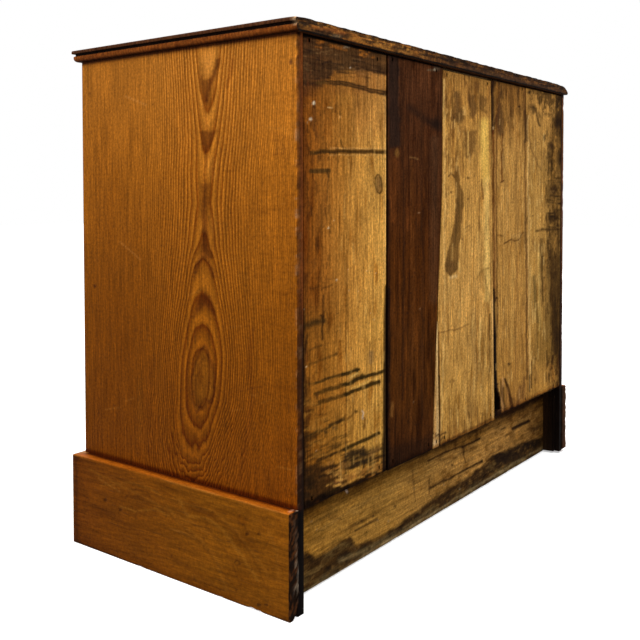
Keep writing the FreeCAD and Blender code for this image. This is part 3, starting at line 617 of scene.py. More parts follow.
# ------------------------------------------------------------------ right side panel
def side_panel(sign):
    x1, x0, r, d = 500.0, 478.0, 1.3, 2.45
    ya, yb = -223.5, 251.5
    n = int((yb - ya - 2 * r) / d)
    ring = arc(x1 - r, ya + r, r, -90, 0) + [(x1, ya + r + (yb - ya - 2 * r) * k / n) for k in range(1, n)] + arc(x1 - r, yb - r, r, 0, 90)
    ring += [(492.0, yb), (485.5, yb), (485.5, 245.0), (485.5, 239.5), (478.0, 239.5)]
    ring += [(478.0, y) for y in np.linspace(200, -200, 9)] + [(478.0, ya), (489.0, ya)]
    ring = np.array(ring)
    zs = [0.0, 0.8] + list(np.linspace(3, 154.8, 63)) + list(np.linspace(155.2, 833, 278)) + [835.2, 836.0]

    def at(z):
        inset = 0.8 if z in (0.0, 836.0) else 0.0

        def fn(q):
            q[:, 0] = np.where(q[:, 0] > 489, np.minimum(q[:, 0], x1 - inset), q[:, 0])
            if z < 155:
                t = np.clip((q[:, 1] - ya) / 44.0, 0, 1)
                q[:, 1] = np.where(q[:, 1] < ya + 44, ya + 11 + t * 33, q[:, 1])
            # the rear arris has had a life: small dents along it
            edge = np.exp(-((q[:, 0] - x1) / 2.5) ** 2 - ((q[:, 1] - yb) / 3.0) ** 2)
            bite = 1.6 * np.clip(fbm(np.array([[z / 17.0, 3.1, 0.0]]), 5, 3)[0] - 0.12, 0, 1) * 3
            bite += 1.5 * math.exp(-((z - 806) / 5.0) ** 2) + 0.8 * math.exp(-((z - 610) / 7.0) ** 2)
            q[:, 0] -= edge * bite * 0.8
            q[:, 1] -= edge * bite * 0.8
            return q
        return fn

    V, F, n = sweep(ring, [(z, at(z)) for z in zs])
    cap(V, F, n, len(zs))
    side = "right" if sign > 0 else "left"
    if sign > 0:
        ob = new_mesh("panel_right", V, F)
    else:
        M = V.copy()
        M[:, 0] *= -1
        M[:, 2] += np.clip(1 - M[:, 2] / 155, 0, 1) * 4.5 * smooth(M[:, 1], 120, 235)
        ob = new_mesh("panel_left", M, [q[::-1] for q in F])
    P = V
    if sign < 0:  # another board of the same tree: its figure the other way up
        P = np.stack([V[:, 0], 10 - V[:, 1] * 0.9, 820 - V[:, 2]], 1)
    y, z = P[:, 1], P[:, 2]
    # rings: an eye low on the board, a pointed flame at its top
    yc = np.interp(z, [0, 160, 215, 290, 366, 520, 640, 690, 836], [30, 34, 40, 58, 65, 68, 70, 76, 80])
    wy = y - yc + 11 * warp(P, 2, 1, 230, 120) + 3.0 * warp(P, 2, 2, 50, 26)
    zz = z + 26 * warp(P, 2, 3, 130, 26)
    D = np.interp(zz, [0, 120, 160, 200, 235, 272, 300, 325, 350, 373, 413, 447, 525, 590, 660, 740, 836], [80, 70, 62, 48, 36, 23, 13, 9, 13, 23, 36, 45, 58, 62, 60, 55, 48])
    zig = 8.5 * fbm(np.stack([y / 8, z / 22, z * 0], 1), 8, 3) * np.exp(-((z - 205) / 75) ** 2)
    R = np.sqrt(wy ** 2 + D ** 2) + zig
    ringv = R / 12.0 + np.where(R > 54, (R - 54) / 6.8, 0) + 0.8 * fbm(np.stack([R / 17, z / 900, z * 0], 1), 9, 3) * smooth(R, 40, 70) + np.where(R > 150, (R - 150) / 16.0, 0)
    near = np.exp(-(wy / 62) ** 2)
    rc = (0.32 + 0.55 * np.exp(-(np.maximum(R - 60, 0) / 60) ** 2)) * (0.25 + 0.75 * smooth(R, 19, 25)) + 0.4 * warp(P, 2, 6, 400, 12)
    P = V
    y, z = P[:, 1], P[:, 2]
    p = Paint(P, 21 if sign > 0 else 22)
    # from dark at the bottom to light at the top: partly the stain's own tone, partly painted shade for light falling
    # from above
    p.grad(z, [(0, (125, 65, 8)), (230, (128, 69, 7)), (430, (143, 81, 12)), (640, (166, 99, 24)), (836, (182, 114, 38))])
    p.mul(1 - smooth(y, -200, 50), (0.87, 0.83, 0.74))
    p.mul(np.ones(len(P)), (0.98, 0.98, 0.94))
    p.mul(np.exp(-((y + 110) / 110) ** 2) * np.exp(-((z - 420) / 190) ** 2), (0.88, 0.84, 0.76))
    p.mul(smooth(y, 60, 200) * (1 - smooth(z, 150, 330)), (1.07, 1.02, 0.96))
    p.mul(smooth(y, 120, 245), (1.08, 1.06, 1.0))
    m = fbm(P / np.array([60, 26, 70.0]), 31, 4)
    p.mul(smooth(m, 0.02, 0.3), (0.92, 0.90, 0.84))
    p.mul(smooth(-m, 0.02, 0.3), (1.12, 1.12, 1.12))
    hz = fbm(P / np.array([60, 60, 5.0]), 33, 3)
    p.mul(smooth(hz, 0.03, 0.25) * smooth(y, 150, 200), (0.86, 0.84, 0.8))
    # heartwood: a narrow dark stripe at the waist, arches over the eye, tongues in the flame
    if sign > 0:
      p.mul(np.exp(-(wy / 30) ** 2 - ((z - 322) / 60) ** 2), (0.80, 0.70, 0.5))
    p.marks([] if sign < 0 else [
        ("B", (209, 64), (9, 16), (188, 122, 48), 0.55),
        ("s", [(218, 60), (216, 70), (212, 80), (208, 92), (206, 102)], 4.2, (92, 42, 8), 0.8), ("s", [(201, 76), (203, 90), (206, 101)], 2.8, (104, 50, 10), 0.7), ("a", [(201, 80), (212, 78), (207, 96), (206, 103)], 1.4, (104, 50, 10), 0.65),
        ("s", [(232, 60), (231, 72), (227, 86)], 3.5, (128, 68, 16), 0.55), ("s", [(199, 60), (200, 84), (203, 108)], 1.6, (186, 120, 44), 0.4),
        ("a", [(200, 131), (217, 130), (214, 140), (208, 150), (205, 154), (202, 143)], 1.4, (104, 52, 10), 0.75), ("a", [(201, 184), (211, 184), (209, 198), (208, 214), (209.4, 228), (212, 244), (214, 258), (203, 258), (202, 240), (201.4, 220)], 1.3, (108, 56, 10), 0.6), ("a", [(208, 160), (213, 152), (218, 164), (216, 178), (211, 184), (207.4, 174)], 1.4, (178, 112, 36), 0.5), ("a", [(211, 204), (214, 214), (214.6, 228), (213, 242), (211, 228), (209.6, 216)], 1.2, (176, 110, 34), 0.5), ("a", [(206, 104), (214, 106), (213, 126), (203, 127)], 2.0, (172, 108, 34), 0.35),
        ("s", [(207, 128), (206, 118), (203, 106)], 2.0, (120, 62, 14), 0.5), ("B", (213, 168), (3, 8), (160, 96, 28), 0.5),
        ("s", [(206, 156), (205, 176), (204.5, 200), (204, 250)], 3.0, (100, 50, 8), 0.7), ("s", [(200.5, 178), (200, 220), (199, 262)], 1.2, (158, 96, 24), 0.5), ("s", [(209.5, 178), (209, 220), (210, 250)], 1.4, (154, 94, 22), 0.5),
        ("a", [(204, 240), (208, 250), (216, 276), (213, 280), (208, 264), (204, 258), (200, 264), (195, 280), (193, 276), (200, 250)], 1.6, (98, 48, 8), 0.65),
        ("a", [(204, 292), (211, 298), (217, 316), (212, 314), (205, 306), (199, 310), (193, 318), (197, 302)], 1.8, (100, 48, 8), 0.7),
        ("a", [(204.6, 346), (210, 358), (214, 374), (214.2, 392), (211.6, 402), (207, 401), (204, 408), (200, 406), (197, 412), (193, 404), (191, 388), (193, 372), (198, 358)], 1.4, (126, 74, 13), 0.6),
        ("s", [(204.6, 345), (210, 357), (214, 373), (214.6, 391), (212, 403), (207, 402), (204, 409), (200, 407), (196.6, 413), (192.4, 404), (190.6, 388), (192.6, 371), (198, 356), (204.6, 345)], 2.2, (88, 42, 6), 0.75),
        ("s", [(203, 358), (197, 374), (194.6, 392), (198, 402)], 2.6, (96, 48, 7), 0.5), ("s", [(207, 352), (210.6, 368), (210.4, 384)], 1.6, (98, 50, 8), 0.45), ("b", (206, 386), 1.6, (104, 56, 10), 0.5),
        ("w", [(201, 404), (205, 398), (209, 402), (213, 396)], 1.8, (88, 40, 6), 0.6),
        ("s", [(252, 330), (250, 360), (252, 400), (246, 440), (240, 480)], 5, (112, 56, 8), 0.4), ("s", [(152, 360), (148, 400), (150, 450)], 6, (106, 54, 6), 0.35), ("s", [(140, 380), (139, 440)], 4, (128, 74, 14), 0.3),
        ("b", (95, 286), 1.8, (70, 34, 10), 0.9),
        ("w", [(272, 140), (280, 141), (286, 148), (281, 155), (274, 154)], 1.6, (124, 68, 18), 0.5),
        ("w", [(270, 134), (284, 136), (292, 149), (284, 162)], 1.4, (128, 70, 20), 0.35), ("w", [(268, 128), (284, 129), (293, 138)], 1.4, (190, 122, 44), 0.35),
        ("B", (280, 148), (5, 5), (176, 106, 32), 0.4),
        ("l", [(125, 96), (146, 105)], 1.0, (196, 134, 66), 0.5),
        ("l", [(120, 242), (141, 260)], 1.0, (176, 112, 46), 0.5),
        ("l", [(160, 180), (163, 214)], 0.9, (98, 50, 12), 0.5),
        ("l", [(238, 392), (262, 386)], 0.9, (88, 42, 8), 0.45),
        ("b", (291, 62), (2.2, 2.6), (94, 52, 26), 0.9),
    ])
    rng = np.random.default_rng(5)
    for _ in range(26):
        cx, cy = rng.uniform(88, 290), rng.uniform(80, 470)
        a = rng.uniform(-0.5, 0.5)
        L = rng.uniform(3, 16)
        p.line([(cx, cy), (cx + L * math.cos(a), cy + L * math.sin(a))], 0.8, (176, 112, 40) if rng.random() < 0.5 else (84, 42, 10), 0.28)
    for _ in range(60):
        p.blob((rng.uniform(86, 292), rng.uniform(64, 500)), rng.uniform(0.5, 1.3), (80, 42, 12), 0.5, wobble=0)
    # the arris by the back, pale in places from wear and from a painted highlight along it, and the rear edge, which
    # was never finished
    edge = np.exp(-((P[:, 0] - 500) / 2.2) ** 2 - ((y - 251.5) / 2.6) ** 2)
    lift = smooth(fbm(P / np.array([30, 30, 9.0]), 41, 3), 0.02, 0.16)
    p.mix(edge * lift * (0.25 + 0.75 * np.exp(-((z - 600) / 110) ** 2)), (196, 158, 122), 0.55)
    rear = smooth(y, 250.6, 251.4) * (P[:, 0] > 484)
    strip = fbm(P / np.array([4, 4, 13.0]), 43, 4)
    p.mix(rear * (1 - edge * 0.5), (88, 45, 15), 0.95)
    p.mix(rear * smooth(strip, 0.02, 0.18), (48, 24, 9), 0.5)
    p.mix(rear * (1 - smooth(z, 370, 480)), (50, 25, 8), 0.85)
    p.mix(rear * (1 - smooth(z, 180, 240)), (26, 14, 7), 0.6)
    p.mix(rear * smooth(-strip, 0.12, 0.24), (104, 72, 44), 0.55)
    front = smooth(-y, 222.2, 223.2)
    p.mul(front, (0.8, 0.76, 0.7))
    inner = smooth(-P[:, 0], -486, -480)
    p.mix(inner, (146, 100, 56), 0.9)
    # the rebate behind the back boards: near black as painted shade in the recess, with a browner band higher up on the
    # right panel
    inner = np.maximum(inner, ((P[:, 0] < 486.5) & (y > 238)).astype(float))
    p.mix(((P[:, 0] < 486.5) & (y > 238)).astype(float), (26, 13, 7), 0.95)
    p.mix(((P[:, 0] < 486.5) & (y > 245)).astype(float) * smooth(z, 390, 470) * (sign > 0), (122, 62, 20), 0.9)
    # the inside and rear edge at the foot, below the back boards: near black, painted shade with dirt
    foot = np.maximum(np.maximum(inner, rear) * (1 - smooth(z, 148, 156)), 1 - smooth(z, 146, 152)) * smooth(y, 150, 210)
    p.mix(foot, (15, 8, 5), 0.96)
    # painted shadow under the top's overhang: darker, then near black just below it
    p.mul(smooth(z, 822, 830) * (1 - inner), (0.84, 0.8, 0.76))
    p.mul(smooth(z, 829.6, 831.6) * (1 - inner), (0.12, 0.08, 0.06))
    # painted shade: a dark line just above the plinth's ledge, where it meets the panel
    p.mul((1 - smooth(z, 158.5, 165)) * (1 - inner), (0.40, 0.24, 0.2))
    attrs(ob, p.col, ring=ringv, rc=np.clip(1.22 * rc * (1 - 0.7 * inner), 0, 1), dirt=0.25 + 0.5 * smooth(m, 0.05, 0.3))
    wear(ob, painted("stained_wood_" + side, "z", rough=0.46, fib=0.35, mott=0.10, spec=0.04, coat=0.0, light=0.85, tint=(0.53, 0.37, 0.18)))
    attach(ob, "carcase"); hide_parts("side_panel_" + side)


# ------------------------------------------------------------------ back boards
def back_board(name, node, xl, xr, z0, z1, dx, dz, paint, seed, pith, rc=0.22, spacing=7.0, rough=0.72, cut=None, mat=None):
    """xl(z) is the edge on the left as seen from behind, which is the larger x; xr(z) the other."""
    r, yb, yf = 0.9, 251.5, 239.5
    w = 100.0
    n = max(int(abs(xl(400) - xr(400)) / dx), 3)
    tops = np.linspace(1, 0, n + 1)
    ring = [(1.0, yf + 3)] + [(1.0, yb - r)] + [(t, yb) for t in tops] + [(0.0, yb - r), (0.0, yf + 3), (0.0, yf)] + [(t, yf) for t in np.linspace(0.12, 0.88, 7)] + [(1.0, yf)]
    T = np.array(ring)
    zs = [z0, z0 + 0.9] + list(np.linspace(z0 + 0.9, z1 - 0.9, max(int((z1 - z0) / dz), 4))[1:-1]) + [z1 - 0.9, z1]
    if cut:
        zs = sorted(set(zs) | {cut[0] - 0.4, cut[0] + 0.4, z0 + 9.6, z0 + 10.4})
    rough_end = np.random.default_rng(seed)

    def at(z):
        a, b = xl(z), xr(z)
        if cut and z0 + 10 < z < cut[0]:
            a -= cut[1] * (0.35 + 0.65 * min(1.0, (cut[0] - z) / 26.0))

        def fn(q):
            t = q[:, 0].copy()
            x = b + (a - b) * t
            onface = q[:, 1] > yb - 0.01
            x = np.where(onface & (t > 0.999), a - r, np.where(onface & (t < 0.001), b + r, x))
            q[:, 0] = x
            if z in (z0, z1):
                q[:, 1] = 245.5 + (q[:, 1] - 245.5) * 0.87
            return q
        return fn

    V, F, n_ring = sweep(T, [(z, at(z)) for z in zs])
    cap(V, F, n_ring, len(zs))
    ob = new_mesh(name, V, F)
    P = V
    p = Paint(P, seed)
    x, z = P[:, 0], P[:, 2]
    wx = x - pith[0] + 7 * warp(P, 2, seed, 240, 70)
    R = np.sqrt(wx ** 2 + (pith[1] + 18 * warp(P, 2, seed + 1, 300, 400)) ** 2)
    rcv = rc * (1 + 1.3 * warp(P, 2, seed + 2, 500, 9))
    dirt = paint(p, P)
    # painted shade: the board's edges and inner face, in the gaps and behind, darkened
    face = smooth(P[:, 1], yb - 1.2, yb - 0.3)
    p.mul(1 - face, (0.14, 0.12, 0.10))
    # darker towards the bottom edge; along the bottom arris near black, which is painted shade
    hem = fbm(np.stack([x / 9, x * 0, x * 0], 1), seed + 5, 3)
    p.mul(1 - smooth(z, z0 + 3 + 5 * hem, z0 + 12 + 9 * hem), (0.62, 0.50, 0.38))
    p.mix(1 - smooth(z, z0 + 1.8 + 2 * hem, z0 + 3.6 + 4 * hem), (22, 11, 6), 0.92)
    # painted shadow: a near-black band along the top, under the top board's rear overhang
    over = np.interp(x, [-484, 100, 484], [4.0, 4.6, 6.4]) + 1.6 * fbm(np.stack([x / 12, x * 0, x * 0], 1), 47, 2)
    p.mix(smooth(z, 836 - over, 837.4 - over), (7, 4, 3), 0.96)
    attrs(ob, p.col, ring=R / spacing, rc=np.clip(rcv, 0, 1), dirt=np.clip(dirt, 0, 1))
    wear(ob, mat or painted(name + "_wood", "z", rough=rough, fib=0.40, mott=0.30 if node == "backboard_2" else 0.20, spec=0.025, bump=0.3, tint=(0.62, 0.48, 0.32), seed=seed * 0.37))
    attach(ob, "carcase"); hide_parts(node)
    return ob


def grime(p, P, seed, sx=26, sz=60, lo=0.04, hi=0.3, k=0.5, f=(0.7, 0.62, 0.5)):
    m = fbm(P / np.array([sx, 30.0, sz]), seed, 4)
    p.mul(smooth(m, lo, hi) * k * 2, f)
    p.mul(smooth(-m, lo, hi) * k, (1.14, 1.12, 1.08))
    return m


def specks(p, seed, box, n, rgb, k=0.6, size=(0.5, 1.2)):
    rng = np.random.default_rng(seed)
    for _ in range(n):
        p.blob((rng.uniform(box[0], box[2]), rng.uniform(box[1], box[3])), rng.uniform(*size), rgb, k, wobble=0)


OLIVE = (48, 34, 9)


def knot(p, c, r, rim=(58, 34, 12), core=(112, 78, 40), tilt=0.25):
    pts = [(c[0] + r[0] * math.cos(t) + tilt * r[0] * math.sin(t), c[1] + r[1] * math.sin(t)) for t in np.linspace(0, 2 * math.pi, 17)]
    p.blob(c, (r[0] * 1.5, r[1] * 1.35), (150, 104, 46), 0.35, soft=0.9)
    p.blob(c, r, core, 0.75, soft=0.5, wobble=0.1)
    p.line(pts, 1.3, rim, 0.8, wobble=0.4)
    p.line(pts[:9], 1.2, rim, 0.5, wobble=0.5)


def paint_b1(p, P):
    x, y = p.x, p.y
    xx = x + 7 * warp(P, 2, 71, 90, 50) * 1.6 + 3 * warp(P, 2, 77, 40, 9)
    p.grad(xx, [(300, (112, 56, 14)), (310, (138, 78, 20)), (324, (156, 96, 32)), (342, (174, 116, 45)), (362, (190, 134, 58)), (382, (204, 150, 70))])
    p.mul(1 - smooth(y, 90, 190), (0.82, 0.80, 0.80))
    p.mul(smooth(y, 380, 440), (0.92, 0.94, 0.9))
    p.mix(smooth(y, 285, 330) * (1 - smooth(x, 326, 352)), (136, 88, 28), 0.55)
    p.mul(smooth(y, 290, 340) * smooth(x, 330, 350), (1.08, 1.09, 1.06))
    p.mul(smooth(y, 320, 350) * smooth(x, 304, 312) * (1 - smooth(x, 330, 350)), (1.16, 1.17, 1.1))
    lb = fbm(P / np.array([7, 20, 22.0]), 88, 4)
    p.mix((1 - smooth(x + 15 * lb, 303.5, 309.5)) * smooth(y, 290, 340), (42, 26, 9), 0.88)
    m = grime(p, P, 72, 14, 60, k=0.6, f=(0.66, 0.56, 0.42))
    grime(p, P, 76, 5, 26, k=0.4, f=(0.74, 0.66, 0.54))
    # dirty brown mottling down the left side
    mm = fbm(P / np.array([11, 20, 22.0]), 78, 4)
    p.mix(smooth(mm, -0.02, 0.2) * (1 - smooth(x, 304, 332)) * smooth(y, 90, 130), (82, 42, 11), 0.72)
    p.mix((1 - smooth(x, 300, 307)) * smooth(mm + 0.25, 0.0, 0.3), (58, 28, 9), 0.75)
    # grey dirt under the top, in level streaks
    hs = fbm(P / np.array([70, 30, 5.0]), 79, 4)
    edge = np.interp(x, [300, 316, 326, 334, 350, 370, 388], [96, 90, 82, 73, 71, 74, 77]) + 10 * hs
    sl = 3 + 11 * (1 - smooth(x, 306, 332))
    top = 1 - smooth(y, edge - 1.3 * sl, edge + sl)
    p.mix(top, (66, 44, 25), 0.93)
    p.mul(top * smooth(hs, 0.0, 0.2), (0.6, 0.58, 0.6))
    p.mul(top * smooth(-hs, 0.02, 0.2), (1.5, 1.42, 1.25))
    p.mix(top * (1 - smooth(x, 300, 330)) * smooth(mm, -0.05, 0.2), (86, 42, 18), 0.6)
    p.dashes(701, (316, 40, 346, 50), 16, (168, 98, 34), 0.6, (2, 6), (0.8, 1.8), 0.1)
    p.dashes(702, (360, 48, 374, 58), 12, (190, 116, 36), 0.7, (1, 3), (0.8, 1.6))
    p.dashes(703, (304, 46, 384, 74), 26, (132, 96, 56), 0.4, (3, 9), (0.7, 1.2), 0.1)
    p.dashes(704, (304, 46, 330, 84), 18, (30, 20, 14), 0.6, (2, 6), (1.0, 2.4))
    p.dashes(705, (330, 60, 386, 80), 14, (34, 24, 14), 0.6, (4, 14), (0.8, 1.8), 0.08, 0.1)
    p.marks([
        # the small white dot at (350.5, 67.5) is a painted glint
        ("s", [(344, 48), (353, 45)], 1.2, WHITE, 0.35), ("b", (350.5, 67.5), (1.2, 0.8), WHITE, 0.4),
        ("w", [(318, 83), (330, 82.4), (345, 83.4), (355, 86.4), (370, 90.4), (387, 94)], 4.6, (80, 54, 22), 0.75),
        ("w", [(326, 81), (345, 81.8), (355, 84.8), (370, 88.6), (387, 92)], 1.2, (46, 30, 14), 0.85), ("w", [(330, 84), (345, 84.6), (355, 87.8), (370, 91.6), (387, 95.6)], 1.2, (46, 30, 14), 0.85),
        ("B", (384, 93), (3, 3.5), (44, 28, 14), 0.7), ("s", [(367, 75), (366, 90)], 2.6, (104, 66, 28), 0.5),
        ("b", (313.8, 103), (1.5, 2), (226, 206, 170), 0.95), ("b", (314, 106.5), 1.4, (40, 22, 12), 0.7),
        ("b", (310.6, 119), (1.6, 1.9), (222, 200, 164), 0.8), ("l", [(328, 107.5), (332, 108)], 1.0, (214, 168, 104), 0.8), ("b", (340, 117), 1.3, (206, 150, 80), 0.7),
        ("l", [(297, 105.2), (318, 105.4)], 0.8, (150, 92, 40), 0.5),
        ("s", [(314, 108), (313, 122), (317, 136)], 4.0, (58, 30, 12), 0.6),
        ("l", [(357.5, 94), (357.8, 107)], 1.1, (78, 46, 18), 0.7), ("w", [(341, 140), (343, 150)], 2.0, (48, 30, 10), 0.7),
        ("w", [(312, 152.4), (330, 151.4), (352, 151.6), (387, 151.8)], 4.6, (84, 54, 17), 0.85), ("w", [(316, 152.6), (345, 151.6), (387, 152)], 2.4, (58, 37, 12), 0.8),
        ("l", [(330, 148.2), (387, 148.6)], 1.0, (214, 160, 88), 0.5), ("l", [(330, 154.9), (387, 154.8)], 1.0, (200, 150, 80), 0.45),
        ("l", [(311, 171), (329, 170.8)], 4.4, (70, 48, 18), 0.88), ("w", [(328.2, 169), (328, 176)], 2.0, (52, 34, 12), 0.85), ("w", [(327.6, 174), (327.5, 186), (327, 200)], 1.6, (88, 54, 20), 0.75),
        ("s", [(314, 182), (311, 200), (312, 215)], 3.0, (86, 46, 14), 0.55), ("s", [(325, 196), (323, 225)], 4.0, (110, 66, 22), 0.5),
        ("b", (328.5, 228), 1.1, (224, 196, 150), 0.8), ("b", (336.5, 280), 1.1, (224, 196, 150), 0.7), ("b", (303.5, 309.5), 1.0, WHITE, 0.7),
        ("s", [(310, 288.5), (316, 288)], 1.8, (72, 40, 12), 0.7), ("s", [(322, 289), (331, 285)], 1.8, (72, 40, 12), 0.7),
        ("w", [(322.8, 296), (323.2, 308), (323.6, 318)], 1.6, (60, 34, 12), 0.85), ("l", [(322, 316), (323.4, 321)], 3.4, (58, 34, 12), 0.85), ("s", [(304, 325.6), (312, 323.4), (323, 321)], 6.2, (62, 42, 16), 0.9), ("w", [(322.4, 322), (322, 340)], 2.0, (62, 36, 12), 0.85),
        ("s", [(303.5, 309), (304, 330)], 2.4, (52, 30, 10), 0.8),
        ("w", [(309, 350.5), (321, 345.6)], 2.2, (92, 56, 16), 0.7), ("w", [(306, 366), (316, 362.5), (327, 358), (337, 354)], 2.6, (98, 62, 18), 0.7), ("b", (336, 354), (1.6, 2.4), (78, 48, 14), 0.7),
        ("w", [(346, 322), (346.6, 370), (345.6, 430), (346.2, 487)], 1.1, (96, 58, 18), 0.75), ("l", [(345.6, 430), (346, 487)], 1.4, (58, 36, 12), 0.8), ("s", [(347.6, 330), (347.6, 480)], 1.2, (206, 152, 70), 0.4),
        ("s", [(370.4, 343), (369.8, 356)], 1.8, (104, 70, 26), 0.75), ("s", [(372, 352), (371, 362)], 4.2, (140, 104, 60), 0.75),
        ("w", [(304, 386), (318, 382.4)], 2.4, (92, 60, 18), 0.85), ("w", [(316, 383), (330, 378), (344, 374)], 3.2, (72, 48, 14), 0.9), ("w", [(343, 374.2), (358, 369.8)], 3.8, OLIVE, 0.95), ("b", (357, 371), (1.4, 2.8), OLIVE, 0.9),
        ("w", [(315, 394), (330, 389), (346, 384)], 3.8, (76, 50, 14), 0.9), ("w", [(345, 384.4), (362, 378), (384, 371)], 4.0, OLIVE, 0.96), ("s", [(352, 380), (364, 376)], 4.6, OLIVE, 0.7), ("b", (317, 395.5), (1.6, 3.4), (84, 48, 14), 0.8), ("b", (362, 376.5), (2.4, 3.2), OLIVE, 0.85),
        ("w", [(319, 403), (332, 398.6), (346, 394)], 4.2, (78, 50, 14), 0.9), ("w", [(345, 394.4), (364, 387), (379, 381.5)], 4.0, OLIVE, 0.95), ("l", [(379, 381), (379.6, 385)], 1.6, OLIVE, 0.85),
        ("s", [(350, 377), (358, 374)], 1.4, (232, 186, 100), 0.6), ("s", [(352, 388), (378, 378)], 1.6, (228, 178, 88), 0.55),
        ("w", [(306, 437), (320, 431.5), (330, 427)], 2.6, (54, 38, 12), 0.85), ("w", [(330, 426), (338, 422.6), (346, 419)], 3.4, (50, 36, 14), 0.85), ("w", [(346, 419), (352, 415)], 2.0, (120, 76, 24), 0.8), ("b", (356, 411.5), (2.4, 2), (64, 42, 14), 0.85), ("b", (335, 428), (3.4, 2.4), (62, 50, 30), 0.8), ("b", (326, 432), (2.6, 2), (70, 50, 22), 0.7),
        ("w", [(318, 461), (332, 454.5), (345, 449)], 3.4, (60, 38, 12), 0.88), ("w", [(344, 449.4), (362, 441), (379, 433)], 3.6, OLIVE, 0.94), ("w", [(306, 462), (320, 456), (340, 446)], 2.0, (70, 44, 14), 0.7), ("l", [(345.6, 487), (347.4, 492.6)], 1.3, (196, 174, 144), 0.8),
        ("w", [(322, 470), (345, 462)], 3.6, (46, 30, 12), 0.85), ("w", [(364, 456), (382, 448)], 2.4, (56, 38, 14), 0.9), ("w", [(352, 464), (378, 457), (384, 455)], 3.0, (66, 42, 14), 0.85),
        ("B", (360, 453), (9, 4), (40, 28, 16), 0.6), ("w", [(363.4, 446), (363.8, 460), (363.4, 472)], 1.8, (40, 26, 14), 0.85), ("B", (363.5, 450), (2, 4), (34, 24, 14), 0.8),
        ("s", [(364, 458), (372, 455)], 3.4, (196, 140, 62), 0.6), ("s", [(368, 464), (380, 459)], 3.4, (172, 116, 46), 0.6),
        ("w", [(362.4, 411), (363.6, 413.4), (362.8, 416), (362.4, 419)], 1.2, (228, 196, 158), 0.85), ("s", [(364, 418), (364.5, 429)], 1.8, (96, 56, 16), 0.85), ("s", [(355, 392), (352, 430)], 1.4, (112, 70, 22), 0.5),
        ("A", [(300, 468), (314, 463), (326, 466), (334, 462), (342, 476), (350, 488), (300, 508)], 3.4, (54, 32, 12), 0.9),
        ("s", [(331, 476), (344, 470)], 3.0, (150, 100, 44), 0.7), ("s", [(330, 484), (342, 479)], 3.0, (138, 90, 44), 0.65), ("s", [(319, 480), (326, 477)], 2.4, (110, 72, 30), 0.5),
        ("a", [(298, 504), (346, 484), (388, 464), (388, 470), (346, 490), (298, 512)], 1.4, (18, 9, 4), 0.95), ("s", [(346, 480), (366, 472), (386, 462)], 3.0, (52, 28, 10), 0.75),
        ("s", [(300, 320), (300, 380), (300, 430), (300, 500)], 5, (40, 26, 10), 0.85), ("B", (304.5, 439), (3.4, 7), (30, 18, 8), 0.85), ("s", [(308, 380), (306, 420), (309, 460)], 4, (112, 66, 18), 0.4),
        # a painted highlight along the upper part of the right arris
        ("s", [(385.0, 96), (385.2, 200), (385.0, 285)], 1.4, (216, 170, 100), 0.4),
        ("l", [(386.0, 286), (385.0, 310), (384.4, 365), (384.0, 430), (382.8, 450), (381.8, 468)], 2.8, (60, 42, 16), 0.9),
    ])
    knot(p, (378.6, 184), (3.4, 9.5))
    specks(p, 73, (306, 100, 384, 470), 60, (88, 54, 24), 0.55)
    specks(p, 74, (306, 60, 384, 470), 14, (216, 180, 130), 0.5, (0.4, 0.8))
    lg = fbm(np.stack([(x * 0.94 - y * 0.34) / 11, (x * 0.34 + y * 0.94) / 3.6, x * 0], 1), 87, 4)
    p.mul(smooth(y, 68, 74) * (1 - smooth(y, 90, 97)) * smooth(x, 320, 336), (0.84, 0.80, 0.86))
    p.mul((1 - smooth(y, 120, 160)) * smooth(x, 346, 360), (0.92, 0.86, 0.9))
    p.mul(smooth(y, 180, 240) * (1 - smooth(y, 330, 360)) * smooth(x, 352, 374), (1.07, 1.07, 1.04))
    p.mix(smooth(lg, 0.0, 0.16) * smooth(y, 392, 410) * (1 - smooth(y, 455, 470)) * (1 - smooth(x, 344, 352)), (160, 108, 40), 0.6)
    p.mix(smooth(lg, 0.06, 0.2) * smooth(y, 452, 464) * (1 - smooth(y, 484, 494)) * smooth(x, 318, 332), (160, 106, 44), 0.75)
    p.mix(smooth(-lg, 0.04, 0.2) * smooth(y, 404, 430) * (1 - smooth(x, 344, 352)), (52, 34, 12), 0.55)
    blot = [(344, 454), (350, 449), (358, 447), (366, 449), (374, 446), (381, 444), (381, 451), (372, 456), (368, 463), (358, 467), (348, 469), (340, 470)]
    p.area(blot, (62, 44, 22), 0.7, soft=2.0, wobble=3.0)
    bs = smooth(-poly_sd(x, y, blot), -2, 2)
    p.mix(bs * smooth(lg, 0.02, 0.16), (150, 104, 50), 0.4)
    p.mix(bs * smooth(-lg, 0.02, 0.14), (32, 24, 16), 0.7)
    p.dashes(712, (344, 448, 380, 468), 22, (44, 30, 14), 0.75, (4, 12), (1.2, 2.4), -0.35, 0.1)
    p.dashes(713, (346, 464, 384, 480), 12, (58, 36, 14), 0.6, (3, 9), (1.0, 1.8), -0.35, 0.15)
    p.dashes(714, (326, 470, 346, 486), 9, (196, 142, 66), 0.75, (3, 9), (1.2, 2.4), -0.35, 0.12)
    p.dashes(715, (348, 466, 384, 482), 8, (206, 150, 70), 0.6, (2, 6), (1.0, 2.2), -0.35, 0.2)
    dk = smooth(fbm(np.stack([(x * 0.94 - y * 0.34) / 7, (x * 0.34 + y * 0.94) / 4, x * 0 + 2], 1), 89, 4), -0.1, 0.14)
    p.mix(dk * (1 - smooth(x + 0.5 * (y - 470), 318, 334)) * smooth(y, 462, 474), (34, 21, 9), 0.8)
